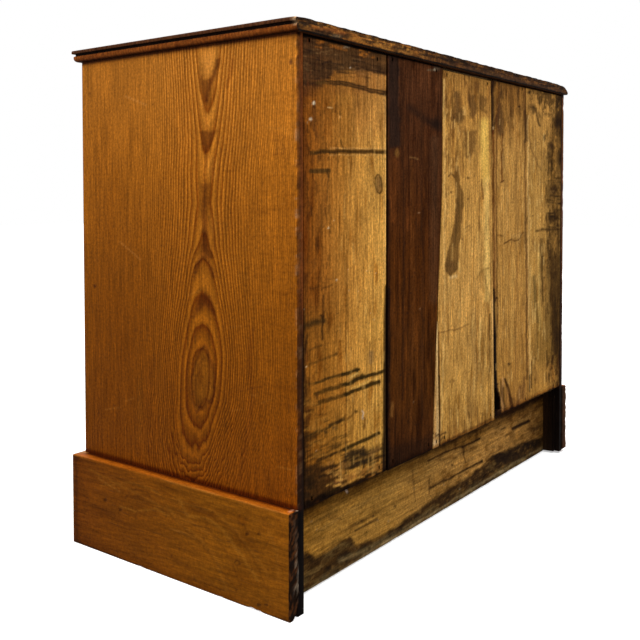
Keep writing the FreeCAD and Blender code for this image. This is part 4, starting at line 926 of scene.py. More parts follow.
    # painted shade: near black along the right arris, where the gap to the next board is
    brim = np.interp(y, [286, 310, 365, 430, 450, 470], [386.4, 385.4, 384.6, 384.4, 383.2, 382.2])
    p.mix(smooth(x, brim - 0.8, brim + 0.6) * smooth(y, 280, 300), (24, 13, 7), 0.95)
    p.dashes(709, (304, 400, 346, 490), 40, (46, 30, 10), 0.6, (3, 10), (0.9, 2.0), -0.35, 0.2)
    p.dashes(710, (306, 100, 340, 160), 34, (52, 28, 10), 0.6, (2, 8), (0.7, 1.6), math.pi / 2, 0.15)
    p.dashes(711, (306, 176, 330, 300), 40, (58, 30, 10), 0.5, (3, 12), (0.7, 1.6), math.pi / 2, 0.1)
    p.dashes(706, (304, 100, 384, 290), 70, (104, 62, 20), 0.4, (3, 14), (0.7, 1.5), math.pi / 2, 0.06)
    p.dashes(707, (340, 100, 384, 480), 40, (222, 170, 88), 0.3, (5, 22), (0.8, 2.0), math.pi / 2, 0.05)
    p.dashes(708, (304, 300, 350, 480), 60, (98, 60, 18), 0.4, (2, 8), (0.7, 1.4), -0.35, 0.3)
    return 0.3 + 0.6 * smooth(m, 0.0, 0.3) + top * 0.6


def paint_b2(p, P):
    x, y = p.x, p.y
    p.grad(y, [(50, (84, 48, 25)), (120, (70, 38, 18)), (250, (75, 38, 9)), (400, (80, 43, 11)), (440, (70, 37, 12)), (470, (46, 24, 10))])
    st = fbm(P / np.array([5, 20, 90.0]), 85, 4)
    p.mul(smooth(st, 0.02, 0.2), (0.58, 0.52, 0.48))
    p.mul(smooth(-st, 0.03, 0.22), (1.38, 1.34, 1.28))
    m = grime(p, P, 81, 18, 70, k=0.6, f=(0.6, 0.55, 0.5))
    p.marks([
        ("a", [(388, 54), (399, 56), (400, 146), (389, 150)], 2.0, (38, 26, 20), 0.85), ("b", (397, 153), (2.4, 5), (116, 78, 34), 0.8),
        ("s", [(410, 108), (426, 120), (440, 128)], 7, (40, 24, 15), 0.7), ("B", (436, 123), (6, 7), (28, 17, 12), 0.8),
        ("b", (434.5, 69.5), 1.2, WHITE, 0.9), ("l", [(428, 70), (433, 70)], 1.6, GREY, 0.6), ("b", (437, 68), (4, 3), (96, 80, 62), 0.6),
        ("l", [(410, 157), (418, 159)], 1.0, (132, 92, 50), 0.7),
        ("b", (419, 213), (1.4, 0.7), (150, 110, 74), 0.6), ("b", (420, 309), 0.8, (150, 110, 74), 0.5), ("b", (413.5, 402), 0.8, (150, 110, 74), 0.5),
        ("s", [(395, 160), (394, 220)], 5, (112, 60, 22), 0.5), ("s", [(407, 210), (408, 230)], 3, (112, 60, 22), 0.5),
        ("s", [(435, 140), (434, 300)], 8, (82, 56, 36), 0.4), ("s", [(391.5, 404), (391.5, 416)], 2.5, (128, 84, 38), 0.6),
        # the two near-black strokes along the left edge are painted shade at the gap to board 1
        ("A", [(386, 446), (434, 434), (434, 462), (386, 476)], 5, (40, 22, 11), 0.6), ("s", [(388.4, 290), (388.0, 380), (387.6, 474)], 4.0, (22, 12, 7), 0.9), ("s", [(388.6, 200), (388.6, 290)], 2.4, (28, 15, 8), 0.7),
        ("s", [(402, 60), (404, 200), (403, 400)], 2.0, (48, 26, 12), 0.6), ("s", [(421, 100), (423, 260), (422, 420)], 2.5, (54, 30, 14), 0.5), ("s", [(412, 160), (413, 300), (411, 430)], 1.8, (108, 62, 24), 0.45),
    ])
    specks(p, 83, (392, 60, 436, 440), 30, (34, 20, 12), 0.6)
    return 0.5 + 0.4 * smooth(m, 0.0, 0.3)


UP = math.pi / 2


def paint_b3(p, P):
    x, y = p.x, p.y
    p.grad(y, [(60, (168, 122, 60)), (120, (182, 132, 62)), (200, (192, 142, 70)), (300, (198, 148, 76)), (400, (186, 138, 66)), (445, (168, 120, 54))])
    m = grime(p, P, 91, 13, 50, k=0.5, f=(0.74, 0.66, 0.54))
    grime(p, P, 92, 5, 22, k=0.35, f=(0.78, 0.72, 0.6))
    d1 = fbm(P / np.array([9, 20, 34.0]), 94, 4)
    p.mix(smooth(d1, -0.06, 0.18) * (1 - smooth(y, 118, 182)) * (0.5 + 0.5 * (1 - smooth(x, 466, 484))), (92, 56, 22), 0.85)
    p.mul(1 - smooth(y, 92, 130), (0.88, 0.84, 0.8))
    p.mix(smooth(d1, 0.02, 0.2) * smooth(y, 380, 430), (112, 74, 32), 0.6)
    p.marks([
        ("s", [(484.6, 122), (484.6, 150), (485.4, 180)], 7, (234, 188, 90), 0.85), ("s", [(486.4, 180), (487.0, 240), (487.4, 300)], 5.2, (232, 188, 104), 0.8), ("s", [(444.4, 80), (444.4, 300), (441.6, 430)], 1.8, (222, 176, 102), 0.6),
        ("s", [(480, 196), (478, 212), (480, 230)], 2.2, (142, 98, 44), 0.6), ("s", [(474, 300), (472, 350), (476, 400)], 3, (214, 164, 86), 0.4),
        ("A", [(453, 91), (461, 92), (463, 117), (460, 128), (454, 118)], 3.4, (84, 56, 28), 0.78), ("A", [(469, 96), (474, 97), (475, 118), (470, 120)], 1.6, (92, 60, 28), 0.75), ("A", [(479.5, 94), (485, 95), (485, 112), (480, 114)], 1.6, (98, 66, 30), 0.75),
        ("B", (476.5, 86.5), (3, 5), (104, 68, 32), 0.7), ("s", [(486, 96), (487, 110)], 1.6, (120, 82, 40), 0.6),
        ("A", [(463, 131), (476, 131), (475, 150), (470, 160), (465, 154)], 2.4, (110, 74, 34), 0.75), ("l", [(468, 131), (468, 155)], 1.1, (206, 160, 84), 0.75), ("l", [(464, 132), (463, 150)], 0.9, (190, 146, 76), 0.5),
        ("a", [(455.6, 166), (459, 166), (460, 184), (463, 195), (462.6, 210), (461, 225), (460.4, 240), (459, 255), (457.8, 266), (455.6, 272), (450.6, 275.6), (446, 272.6), (444.6, 266), (446, 257), (449.6, 247), (451.6, 237), (453.6, 224), (455.2, 210), (455.6, 196), (454.6, 182)], 0.9, (98, 66, 28), 0.86),
        ("B", (451.4, 266), (5, 7), (84, 56, 28), 0.6), ("s", [(458.6, 200), (457, 224), (454, 246)], 2.6, (86, 58, 26), 0.6), ("s", [(456, 277), (450, 277.6)], 2.6, (206, 176, 122), 0.55), ("s", [(458, 262), (460, 272)], 1.6, (206, 166, 96), 0.5),
        ("w", [(448, 176), (451, 172), (454, 177)], 1.8, (92, 60, 26), 0.8), ("s", [(449, 186), (447, 195)], 3, (128, 90, 44), 0.5), ("b", (468, 178), 1.3, (60, 34, 14), 0.9), ("b", (451, 192), 1.2, (80, 50, 22), 0.8), ("b", (468, 199), 1.3, (80, 50, 22), 0.8), ("b", (462.5, 239), 1.2, (88, 54, 24), 0.8), ("b", (450, 382), 1.2, (80, 50, 26), 0.7), ("b", (454, 381), 1.1, (80, 50, 26), 0.7),
        ("w", [(481.6, 180), (482.4, 190), (483, 199)], 1.3, (88, 54, 24), 0.85), ("w", [(490.2, 314), (489.8, 326), (490, 340)], 1.5, (58, 34, 16), 0.85), ("w", [(489.4, 340), (489.6, 372)], 1.0, (96, 62, 28), 0.6),
        ("w", [(477, 279), (480, 273), (484, 270), (489, 268)], 1.8, (140, 104, 48), 0.7), ("w", [(484, 275), (486, 286), (490, 296)], 1.4, (142, 104, 50), 0.55),
        ("l", [(464, 229), (470, 225)], 1.2, (120, 82, 38), 0.6), ("l", [(466, 232), (472, 227)], 1.0, (120, 82, 38), 0.5), ("w", [(440, 332), (455, 329.6), (468, 324)], 1.3, (128, 88, 42), 0.75),
        ("s", [(475, 310), (474.6, 345), (476, 380)], 4.6, (150, 112, 60), 0.55), ("s", [(472, 384), (470, 414)], 8, (138, 100, 50), 0.5), ("s", [(483, 320), (484, 350), (482, 390)], 2.0, (156, 116, 58), 0.6), ("s", [(480, 320), (480, 370)], 1.8, (222, 178, 104), 0.5),
        ("l", [(464.5, 420), (464.5, 432)], 1.4, (84, 54, 24), 0.75), ("w", [(468, 412), (471, 428)], 1.8, (92, 60, 26), 0.75), ("l", [(482.5, 413), (482.5, 424)], 1.4, (84, 54, 24), 0.75), ("s", [(476, 408), (478, 424)], 2.0, (110, 74, 34), 0.55), ("s", [(446, 420), (447, 438)], 1.6, (210, 160, 80), 0.5),
        ("s", [(440, 444), (466, 431), (494, 417)], 2.0, (92, 60, 28), 0.6), ("s", [(489.6, 86), (490, 170), (491, 300)], 1.2, (132, 90, 44), 0.5),
        # the cream line along the right arris, (492.4, 300) to (492.9, 418), is a painted highlight
        ("l", [(438.6, 332), (439.4, 380)], 1.2, (84, 46, 18), 0.8), ("l", [(439.4, 376), (439.8, 446)], 1.5, (44, 22, 9), 0.9), ("l", [(492.4, 300), (492.9, 418)], 1.0, (218, 174, 112), 0.6), ("w", [(438, 436), (446, 432.6)], 1.8, (66, 42, 22), 0.85), ("w", [(438, 441), (444, 437)], 1.4, (74, 48, 26), 0.7),
    ])
    g3 = fbm(P / np.array([8, 20, 44.0]), 97, 4)
    p.mul(smooth(y, 270, 320) * smooth(g3, 0.02, 0.18), (0.66, 0.60, 0.5))
    p.mul(smooth(y, 270, 320) * smooth(-g3, 0.04, 0.2), (1.22, 1.2, 1.15))
    p.dashes(901, (445, 100, 466, 172), 46, (118, 76, 32), 0.55, (4, 14), (0.8, 1.8), UP, 0.1)
    p.dashes(902, (444, 110, 470, 176), 26, (222, 172, 96), 0.5, (3, 10), (0.7, 1.3), UP, 0.1)
    p.dashes(903, (444, 180, 490, 430), 90, (146, 102, 48), 0.38, (4, 20), (0.7, 1.5), UP, 0.04)
    p.dashes(904, (444, 180, 490, 430), 60, (224, 178, 100), 0.35, (4, 18), (0.7, 1.5), UP, 0.04)
    specks(p, 93, (445, 90, 488, 430), 46, (112, 74, 34), 0.55, (0.4, 1.0))
    return 0.25 + 0.5 * smooth(m, 0.0, 0.3)


def paint_sliver(p, P):
    p.grad(p.y, [(300, (206, 158, 92)), (440, (196, 148, 84))])
    grime(p, P, 95, 5, 60, k=0.5)
    p.marks([("s", [(434.5, 330), (434.5, 440)], 1.2, (150, 106, 56), 0.55), ("l", [(437.4, 312), (437.2, 436)], 1.2, (228, 190, 128), 0.8),
             ("l", [(433, 433), (445, 438)], 1.6, (74, 46, 24), 0.8), ("l", [(433, 438), (442, 433)], 1.4, (74, 46, 24), 0.7), ("l", [(440.4, 376), (440, 400), (439.4, 446)], 1.8, (46, 27, 12), 0.8), ("B", (435.5, 443), (3, 3.5), (214, 184, 140), 0.6)])
    return np.full(len(P), 0.3)


def paint_b4(p, P):
    x, y = p.x, p.y
    p.grad(y, [(75, (128, 84, 36)), (105, (150, 104, 46)), (160, (184, 136, 68)), (300, (186, 136, 66)), (380, (174, 124, 56)), (415, (150, 102, 46))])
    m = grime(p, P, 101, 13, 50, k=0.5, f=(0.76, 0.68, 0.56))
    grime(p, P, 102, 5, 20, k=0.35, f=(0.78, 0.72, 0.6))
    d1 = fbm(P / np.array([11, 20, 30.0]), 104, 4)
    p.mix(smooth(d1, -0.04, 0.16) * (1 - smooth(y, 104, 150)), (82, 52, 23), 0.8)
    p.mix(smooth(d1 + 0.10, 0.0, 0.2) * (1 - smooth(y, 120, 140)) * (1 - smooth(x, 501, 505)), (76, 50, 26), 0.7)
    p.marks([
        ("s", [(492, 80), (492, 104), (492.6, 132)], 4.6, (34, 17, 8), 0.95), ("s", [(493.4, 130), (494, 200), (494.6, 300)], 2.6, (92, 46, 16), 0.85),
        ("w", [(496.6, 100), (496.4, 200), (497.4, 330)], 1.3, (74, 36, 12), 0.8), ("s", [(494.4, 290), (495, 350), (495.6, 386)], 2.4, (30, 17, 8), 0.9), ("l", [(495.2, 130), (495.4, 260)], 0.9, (196, 140, 70), 0.4), ("b", (493.2, 128), (0.8, 1.8), (190, 150, 96), 0.7), ("b", (497, 298), 1.3, (62, 36, 16), 0.9), ("b", (497.5, 384), 1.3, (60, 30, 14), 0.9),
        ("s", [(499.6, 105), (499.4, 120), (499.6, 134)], 3.6, (78, 50, 26), 0.85), ("s", [(502.4, 112), (502.6, 134)], 2.6, (88, 58, 30), 0.8), ("s", [(502, 134), (501.8, 158), (502.2, 181)], 2.0, (98, 52, 20), 0.85), ("w", [(500.4, 182), (504, 180)], 1.6, (84, 46, 20), 0.85), ("b", (502.4, 157), (1.4, 3), (80, 42, 16), 0.8),
        ("s", [(510.6, 84), (511, 100), (511.6, 117)], 3.0, (96, 62, 26), 0.75), ("w", [(510, 117), (510.4, 145)], 1.2, (132, 92, 46), 0.6), ("b", (519, 106.5), 1.5, (58, 32, 14), 0.9), ("s", [(517, 92), (518, 112)], 1.6, (110, 74, 34), 0.5),
        ("w", [(504, 243), (508, 241), (511, 239.6), (516, 241), (520, 239), (523, 233)], 1.5, (84, 50, 20), 0.9), ("l", [(497, 235), (503, 236)], 1.4, (104, 66, 30), 0.75), ("s", [(512, 236), (521, 236)], 3, (206, 158, 88), 0.5),
        ("b", (509, 364), 1.5, (60, 34, 16), 0.9), ("s", [(502, 356), (504, 366), (508, 374)], 2.0, (120, 80, 34), 0.5),
        ("w", [(505, 379), (508, 388), (510.4, 398), (511.4, 406), (511, 412)], 3.0, (58, 29, 9), 0.92), ("s", [(502.6, 378), (502.2, 395), (502.6, 410)], 1.6, (206, 152, 94), 0.7), ("s", [(503, 388), (505, 412)], 3.0, (70, 42, 18), 0.75), ("s", [(500, 380), (502, 396)], 2.2, (96, 62, 24), 0.7), ("s", [(507, 390), (508, 408)], 1.6, (150, 100, 50), 0.5),
        ("s", [(520, 386), (518, 404)], 3.2, (92, 52, 28), 0.7), ("s", [(524, 378), (523, 398)], 2.6, (104, 64, 34), 0.65), ("s", [(513, 398), (516, 408)], 2.0, (104, 66, 30), 0.6),
        ("s", [(516, 120), (517, 230), (516, 380)], 1.6, (148, 104, 50), 0.55), ("s", [(507, 190), (507, 230)], 2.0, (214, 164, 90), 0.5), ("s", [(513, 260), (512, 360)], 2.4, (208, 160, 84), 0.4), ("s", [(522, 300), (523, 370)], 3, (150, 102, 44), 0.5),
        ("s", [(525.2, 88), (525.4, 200), (527, 380)], 1.6, (86, 54, 26), 0.8), ("s", [(525.6, 112), (525.8, 142)], 2.2, (62, 38, 18), 0.8),
    ])
    # painted shade: near black along the left edge where the gap to board 3 is, widening at the foot over the cut-away
    # corner
    d = np.interp(P[:, 2], [157, 832], [-141, -118.8]) - P[:, 0]
    wid = np.interp(y, [286, 330, 374, 386, 400, 418], [3.0, 7.5, 9.0, 15.0, 29.0, 34.0]) * (1 + 0.25 * fbm(np.stack([P[:, 2] / 16, y * 0, y * 0], 1), 105, 3))
    p.mix((1 - smooth(d, wid - 2.5, wid + 4)) * smooth(y, 284, 300), (30, 16, 10), 0.94)
    p.mix((1 - smooth(d, 9, 13)) * smooth(y, 320, 340), (12, 6, 5), 0.9)
    p.mix(smooth(y, 402, 412) * (1 - smooth(x, 508, 513)) * smooth(d1 + 0.1, 0, 0.2), (48, 27, 12), 0.7)
    p.dashes(911, (496, 88, 525, 130), 30, (84, 52, 24), 0.5, (3, 12), (0.8, 1.6), UP, 0.08)
    p.dashes(912, (496, 120, 525, 400), 80, (140, 98, 48), 0.4, (4, 18), (0.7, 1.4), UP, 0.04)
    p.dashes(913, (496, 120, 525, 400), 50, (218, 170, 96), 0.35, (4, 14), (0.7, 1.3), UP, 0.04)
    specks(p, 103, (496, 100, 524, 400), 34, (92, 58, 26), 0.55, (0.4, 1.0))
    return 0.3 + 0.5 * smooth(m, 0.0, 0.3)


def paint_b5(p, P):
    x, y = p.x, p.y
    p.grad(y, [(82, (160, 114, 54)), (110, (178, 130, 64)), (160, (182, 136, 68)), (300, (186, 140, 70)), (385, (178, 128, 58))])
    m = grime(p, P, 111, 12, 46, k=0.5, f=(0.74, 0.68, 0.56))
    grime(p, P, 112, 5, 18, k=0.35, f=(0.78, 0.72, 0.6))
    d1 = fbm(P / np.array([16, 20, 22.0]), 116, 5)
    d2 = fbm(P / np.array([7, 20, 8.0]), 117, 3)
    edge = np.interp(y, [80, 112, 128, 150, 170, 200, 230, 245, 300, 320, 345, 370, 400], [560, 556, 548, 548, 545, 545, 546, 542, 543, 546, 550, 553, 556]) + 16 * d1
    dark = smooth(x, edge - 4, edge + 6)
    p.mix(dark, (100, 68, 28), 0.8)
    p.mul(dark * smooth(d2, -0.02, 0.18), (0.56, 0.52, 0.46))
    p.mul(smooth(y, 285, 330) * smooth(x, 529, 540) * (1 - smooth(y, 356, 372)), (0.66, 0.66, 0.62))
    p.mul(dark * smooth(-d2, 0.06, 0.24), (1.7, 1.65, 1.5))
    p.mix((1 - smooth(y, 108, 130)) * smooth(x, 528, 533) * smooth(d1 + 0.6 * d2, -0.10, 0.10), (74, 50, 22), 0.85)
    p.mix((1 - smooth(y, 122, 150)) * smooth(x, 554, 557) * smooth(d2 + 0.3, 0, 0.2), (44, 28, 14), 0.75)
    p.marks([
        ("s", [(528.0, 116), (528.2, 240), (529.8, 390)], 1.3, (222, 176, 108), 0.6), ("l", [(526.8, 115), (527, 141)], 1.2, (74, 48, 24), 0.75),
        ("B", (529, 92.5), (2.6, 2), (60, 38, 18), 0.85), ("B", (532, 107), (4.4, 3), (72, 48, 22), 0.85), ("l", [(531, 95), (531.4, 106)], 1.4, (112, 76, 36), 0.7), ("w", [(536, 108), (538, 118), (540, 126)], 2.0, (60, 38, 18), 0.8),
        ("B", (557.5, 122), (5, 6), (34, 20, 10), 0.85), ("b", (544.5, 137.5), (1.6, 4), (62, 38, 18), 0.9),
        ("w", [(528.6, 138), (531, 148), (536, 160), (541, 170)], 1.5, (124, 86, 42), 0.7), ("w", [(545, 150), (543, 160), (541, 170)], 1.5, (124, 86, 42), 0.7), ("s", [(533, 130), (535, 146)], 1.8, (128, 88, 40), 0.6),
        ("B", (551, 146), (2.6, 4.4), (46, 26, 16), 0.85), ("B", (553.5, 190), (5, 7), (44, 26, 12), 0.85), ("B", (554, 216), (6.5, 6.5), (48, 30, 14), 0.85), ("B", (559, 160), (3, 10), (60, 42, 20), 0.7), ("s", [(536, 231), (548, 229.6), (561, 229)], 2.4, (54, 34, 14), 0.8),
        ("s", [(556, 258), (557, 300), (558.4, 352)], 9, (50, 31, 11), 0.75), ("s", [(561.6, 120), (562, 240), (562.6, 384)], 2.4, (30, 18, 8), 0.7), ("s", [(552, 366), (553, 380)], 3.0, (164, 106, 40), 0.6), ("s", [(561, 356), (561.6, 380)], 2.4, (60, 34, 12), 0.7), ("w", [(531.5, 362), (531.6, 388)], 1.4, (64, 40, 18), 0.85), ("w", [(529.8, 375), (529.8, 392)], 1.1, (64, 42, 20), 0.75), ("s", [(535, 366), (536, 384)], 1.6, (120, 82, 38), 0.6),
        ("s", [(534, 276), (535.4, 300), (536.6, 322)], 3.0, (104, 82, 40), 0.7), ("s", [(541, 240), (541.6, 270), (543, 300)], 2.4, (72, 46, 18), 0.75), ("s", [(539, 250), (539.6, 330)], 2.2, (206, 164, 88), 0.5), ("s", [(546, 300), (547, 340)], 2.4, (120, 88, 42), 0.6), ("s", [(551, 250), (552, 300), (556, 352)], 4.0, (56, 34, 12), 0.6), ("s", [(548, 270), (550, 330)], 1.4, (132, 98, 46), 0.6),
    ])
    rb = np.interp(y, [90, 130, 200, 260, 300, 345, 360, 386], [563, 561.5, 561, 560, 559.4, 559.4, 560.4, 561.4]) + 3 * d2
    p.mix(smooth(x, rb - 1, rb + 1.6) * smooth(y, 100, 140), (22, 13, 6), 0.88)
    p.mix(smooth(d2 + 0.3 * d1, 0.0, 0.16) * smooth(x, 545, 551) * smooth(y, 352, 364), (84, 50, 20), 0.75)
    p.dashes(926, (546, 356, 562, 386), 26, (60, 34, 12), 0.65, (3, 12), (0.8, 1.8), UP, 0.12)
    p.dashes(921, (528, 130, 545, 385), 60, (142, 102, 50), 0.42, (4, 16), (0.7, 1.5), UP, 0.05)
    p.dashes(922, (528, 130, 545, 385), 40, (222, 180, 106), 0.4, (4, 14), (0.7, 1.4), UP, 0.05)
    p.dashes(923, (546, 130, 562, 360), 46, (44, 26, 10), 0.6, (3, 16), (0.8, 1.8), UP, 0.08)
    p.dashes(924, (548, 170, 562, 230), 24, (138, 100, 50), 0.5, (2, 5), (0.7, 1.2), 0.1, 0.3)
    p.dashes(925, (548, 172, 562, 230), 16, (30, 18, 8), 0.7, (3, 9), (0.9, 1.6), 0.06, 0.1)
    specks(p, 113, (529, 100, 560, 385), 40, (74, 46, 20), 0.6, (0.4, 1.1))
    return 0.35 + 0.5 * smooth(m, 0.0, 0.3)


def lerp(zs, xs):
    o = np.argsort(zs)
    Z, X = np.array(zs, float)[o], np.array(xs, float)[o]
    return lambda z: float(np.interp(z, Z, X))


def backs():
    back_board("board_1_wood", "backboard_1", lerp([0, 900], [484, 484]), lerp([0, 900], [265, 265]), 151.5, 835, 2.3, 1.9, paint_b1, 70, (395, 16), rc=0.30, spacing=6.0)
    back_board("board_2_wood", "backboard_2", lerp([0, 900], [259.8, 259.8]), lerp([150.5, 300, 434, 612, 834], [111.75, 102.25, 91.95, 79.25, 78.25]),
               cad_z("backboard_2")[0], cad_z("backboard_2")[1], 2.8, 2.0, paint_b2, 80, (170, 30), rc=0.35, rough=0.8)
    back_board("board_3_wood", "backboard_3", lerp([149.5, 391, 434, 612, 830], [84.75, 93, 90.45, 77.75, 76.75]), lerp([157, 830], [-140, -117.3]),
               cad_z("backboard_3")[0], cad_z("backboard_3")[1], 3.0, 2.0, paint_b3, 90, (-90, 45), rc=0.18)
    back_board("board_4_wood", "backboard_4", lerp([157, 832], [-141, -118.8]), lerp([157, 832], [-309.5, -285.8]),
               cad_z("backboard_4")[0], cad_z("backboard_4")[1], 3.4, 2.0, paint_b4, 100, (-240, 60), rc=0.2, cut=(215.0, 25.0))
    back_board("board_5_wood", "backboard_5", lerp([158, 833], [-311, -285.8]), lerp([158, 833], [-484, -484]),
               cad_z("backboard_5")[0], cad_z("backboard_5")[1], 3.4, 2.0, paint_b5, 110, (-420, 40), rc=0.2)


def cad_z(node):
    lo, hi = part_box(node)
    return lo[2] * 1000, hi[2] * 1000


# ------------------------------------------------------------------ plinth returns
def plinth_return(sign):
    xs = np.array([500, 500.8, 505, 510, 514, 517.5, 519.0, 520.0])
    ys = np.concatenate([[-232.5, -231.7], np.linspace(-229.5, 236, 186), np.linspace(237.2, 252.6, 13), [253.6, 254.5]])
    zs = np.concatenate([[0, 0.5, 1.2], np.linspace(3.2, 150.6, 61), [152.5, 153.9, 155.0]])
    V, F = grid_box(xs, ys, zs)
    P = V.copy()
    # rounded top outer arris, small rounds elsewhere
    e = (V[:, 0] > 517.49) & (V[:, 2] > 152.49)
    ex, ez = V[:, 0] - 517.5, V[:, 2] - 152.5
    k = np.maximum(ex, ez) / np.maximum(np.hypot(ex, ez), 1e-9)
    P[e, 0] = 517.5 + (ex * k)[e]
    P[e, 2] = 152.5 + (ez * k)[e]
    P[:, 2] = np.where((V[:, 0] > 519.9) & (V[:, 2] < 1.0), np.maximum(P[:, 2], 0.0), P[:, 2])
    low = (V[:, 2] < 0.6) & (V[:, 0] > 518.9)
    P[low, 0] -= 0.6
    # mitred front end
    yf = -212.5 - (P[:, 0] - 500)
    P[:, 1] = yf + (P[:, 1] + 232.5) / 487.0 * (254.5 - yf)
    # ragged sawn rear end, its lower inner corner worn away
    n = fbm(np.stack([P[:, 0] / 5, P[:, 2] / 9, P[:, 0] * 0], 1), 3 + sign, 3)
    n2 = fbm(np.stack([P[:, 0] / 2, P[:, 2] / 3.5, P[:, 0] * 0], 1), 13 + sign, 2)
    endw = smooth(P[:, 1], 246, 254)
    P[:, 1] -= endw * np.clip(1.2 + 3.0 * n + 1.6 * n2, 0, 3.5)
    if sign > 0:
        t = np.clip((520 - P[:, 0]) / 20, 0, 1)
        zmin = 26 * (1 - np.sqrt(1 - (0.97 * t) ** 2)) * smooth(P[:, 1], 228, 252)
        P[:, 2] = zmin + P[:, 2] * (155 - zmin) / 155.0
        for (cy, cz, rad, dep) in [(-147, 92, 5, 0.9), (-108, 83, 4, 0.8), (173, 109, 4.5, 0.9), (196, 114, 4, 0.8), (153, 61, 5, 0.4), (209, 14, 6, 1.0)]:
            d = np.hypot(P[:, 1] - cy, P[:, 2] - cz)
            P[:, 0] -= np.where(P[:, 0] > 515, dep * np.exp(-(d / rad) ** 2), 0)
        for (cy, wd, dep) in [(182, 7, 2.2), (196, 5, 1.6), (120, 5, 0.8), (-60, 6, 0.9)]:
            P[:, 2] += np.exp(-((P[:, 1] - cy) / wd) ** 2) * dep * np.clip(1 - V[:, 2] / 12, 0, 1) * smooth(P[:, 0], 506, 518)
    if sign < 0:
        t = np.clip((P[:, 1] - 244) / 10.5, 0, 1)
        zmin = 4.5 * smooth(P[:, 1], 120, 235) + 6 * (1 - np.sqrt(1 - (0.97 * t) ** 2))
        P[:, 2] = zmin + P[:, 2] * (155 - zmin) / 155.0
    nick = np.clip(fbm(np.stack([P[:, 1] / 16, P[:, 1] * 0, P[:, 1] * 0 + sign], 1), 23, 3) - 0.14, 0, 1) * 3.0
    edge = np.exp(-((V[:, 0] - 520) / 2.2) ** 2 - ((V[:, 2] - 155) / 2.2) ** 2)
    P[:, 0] -= edge * nick
    P[:, 2] -= edge * nick
    P[:, 1] = np.minimum(P[:, 1], 254.4)
    Q = P.copy()
    if sign < 0:
        Q[:, 0] *= -1
        F = F[:, ::-1]
    side = "right" if sign > 0 else "left"
    ob = new_mesh("plinth_wood_" + side, Q, F)
    p = Paint(P, 30 + sign)
    x, y, z = P[:, 0], P[:, 1], P[:, 2]
    wz = z - 108 + 26 * warp(P, 1, 51 + sign, 150, 60) - 0.10 * (y - 20)
    D = np.interp(y + 14 * warp(P, 1, 53, 40, 30), [-235, -150, -105, -40, 20, 77, 120, 159, 215, 260], [26, 34, 28, 20, 34, 40, 34, 30, 36, 46])
    R = np.hypot(wz, D) + 4 * warp(P, 1, 54 + sign, 40, 9)
    p.grad(y, [(-230, (108, 55, 6)), (-20, (121, 67, 8)), (120, (132, 77, 11)), (250, (133, 77, 12))])
    m = fbm(P / np.array([40, 80, 24.0]), 55, 4)
    p.mul(smooth(m, 0.0, 0.3), (0.80, 0.74, 0.62))
    p.mul(smooth(-m, 0.0, 0.3), (1.16, 1.14, 1.1))
    p.mul(1 - smooth(z, 0, 26), (0.78, 0.72, 0.66))
    p.mul(smooth(-y, 205, 225), (0.86, 0.82, 0.8))
    if sign > 0:
        p.marks([
            ("w", [(126, 497), (136, 489), (148, 492), (152, 501)], 1.5, (88, 46, 8), 0.4), ("w", [(131, 499), (138, 495), (145, 499)], 1.3, (86, 44, 8), 0.4), ("B", (139, 497), (9, 6), (100, 54, 10), 0.3),
            ("s", [(180, 500), (187, 516), (206, 518), (224, 531), (238, 551), (258, 580)], 2.4, (166, 106, 30), 0.40), ("s", [(172, 498), (190, 505), (214, 511), (240, 535), (268, 576)], 2.0, (160, 100, 28), 0.32), ("s", [(166, 506), (178, 522), (200, 538), (216, 560), (226, 590)], 2.0, (160, 100, 28), 0.3), ("s", [(100, 486), (128, 482), (150, 488), (164, 500)], 1.6, (156, 98, 26), 0.3), ("s", [(120, 506), (136, 512), (156, 508), (168, 516)], 1.6, (160, 102, 28), 0.4),
            ("s", [(192, 526), (204, 526), (218, 538), (230, 560), (240, 584)], 1.8, (90, 48, 8), 0.45), ("s", [(150, 500), (178, 522), (206, 548), (228, 580)], 1.8, (92, 50, 8), 0.4), ("s", [(182, 508), (206, 512), (232, 528), (252, 556), (268, 590)], 1.6, (94, 50, 8), 0.4),
            ("s", [(90, 470), (150, 500), (220, 540)], 2.0, (150, 92, 24), 0.35), ("s", [(84, 500), (120, 520), (170, 556), (220, 590)], 2.4, (88, 44, 8), 0.35),
            ("s", [(268, 530), (276, 550), (278, 580)], 3, (150, 92, 24), 0.35), ("s", [(76.0, 456), (76.4, 540)], 2.6, (60, 30, 8), 0.55), ("s", [(76, 541), (150, 572), (220, 602), (288, 621)], 2.4, (48, 24, 8), 0.7),
            ("b", (105, 500), 2.0, (64, 32, 8), 0.85), ("b", (120, 510), 1.7, (64, 32, 8), 0.85), ("b", (247, 534), 2.0, (66, 34, 8), 0.85), ("b", (259, 534), 1.7, (66, 34, 8), 0.85),
            ("w", [(234, 563), (237, 560), (240, 563), (237, 566), (234, 563)], 1.2, (72, 38, 10), 0.7), ("b", (259, 605), (3.4, 1.8), (60, 34, 12), 0.8), ("b", (266, 605), (2.2, 1.8), (60, 34, 12), 0.8),
            ("l", [(170, 528), (196, 538)], 0.9, (172, 110, 40), 0.4), ("l", [(98, 478), (120, 492)], 0.9, (172, 110, 40), 0.35),
        ])
        specks(p, 56, (80, 465, 286, 615), 60, (76, 38, 8), 0.5, (0.6, 1.5))
    # the ledge on top, then the black sawn end
    top = smooth(z, 153.4, 154.9)
    p.mix(top, (150, 78, 13), 0.9)
    # the inner part of the ledge, against the side panel, darkened: painted contact shade with dirt
    led = 1.6 * fbm(np.stack([y / 24, y * 0, y * 0], 1), 59, 2)
    p.mul(top * smooth(-x, -511 + led, -504.5 + led), (0.26, 0.15, 0.12))
    p.mul(top * smooth(m, 0.0, 0.25), (0.78, 0.7, 0.6))
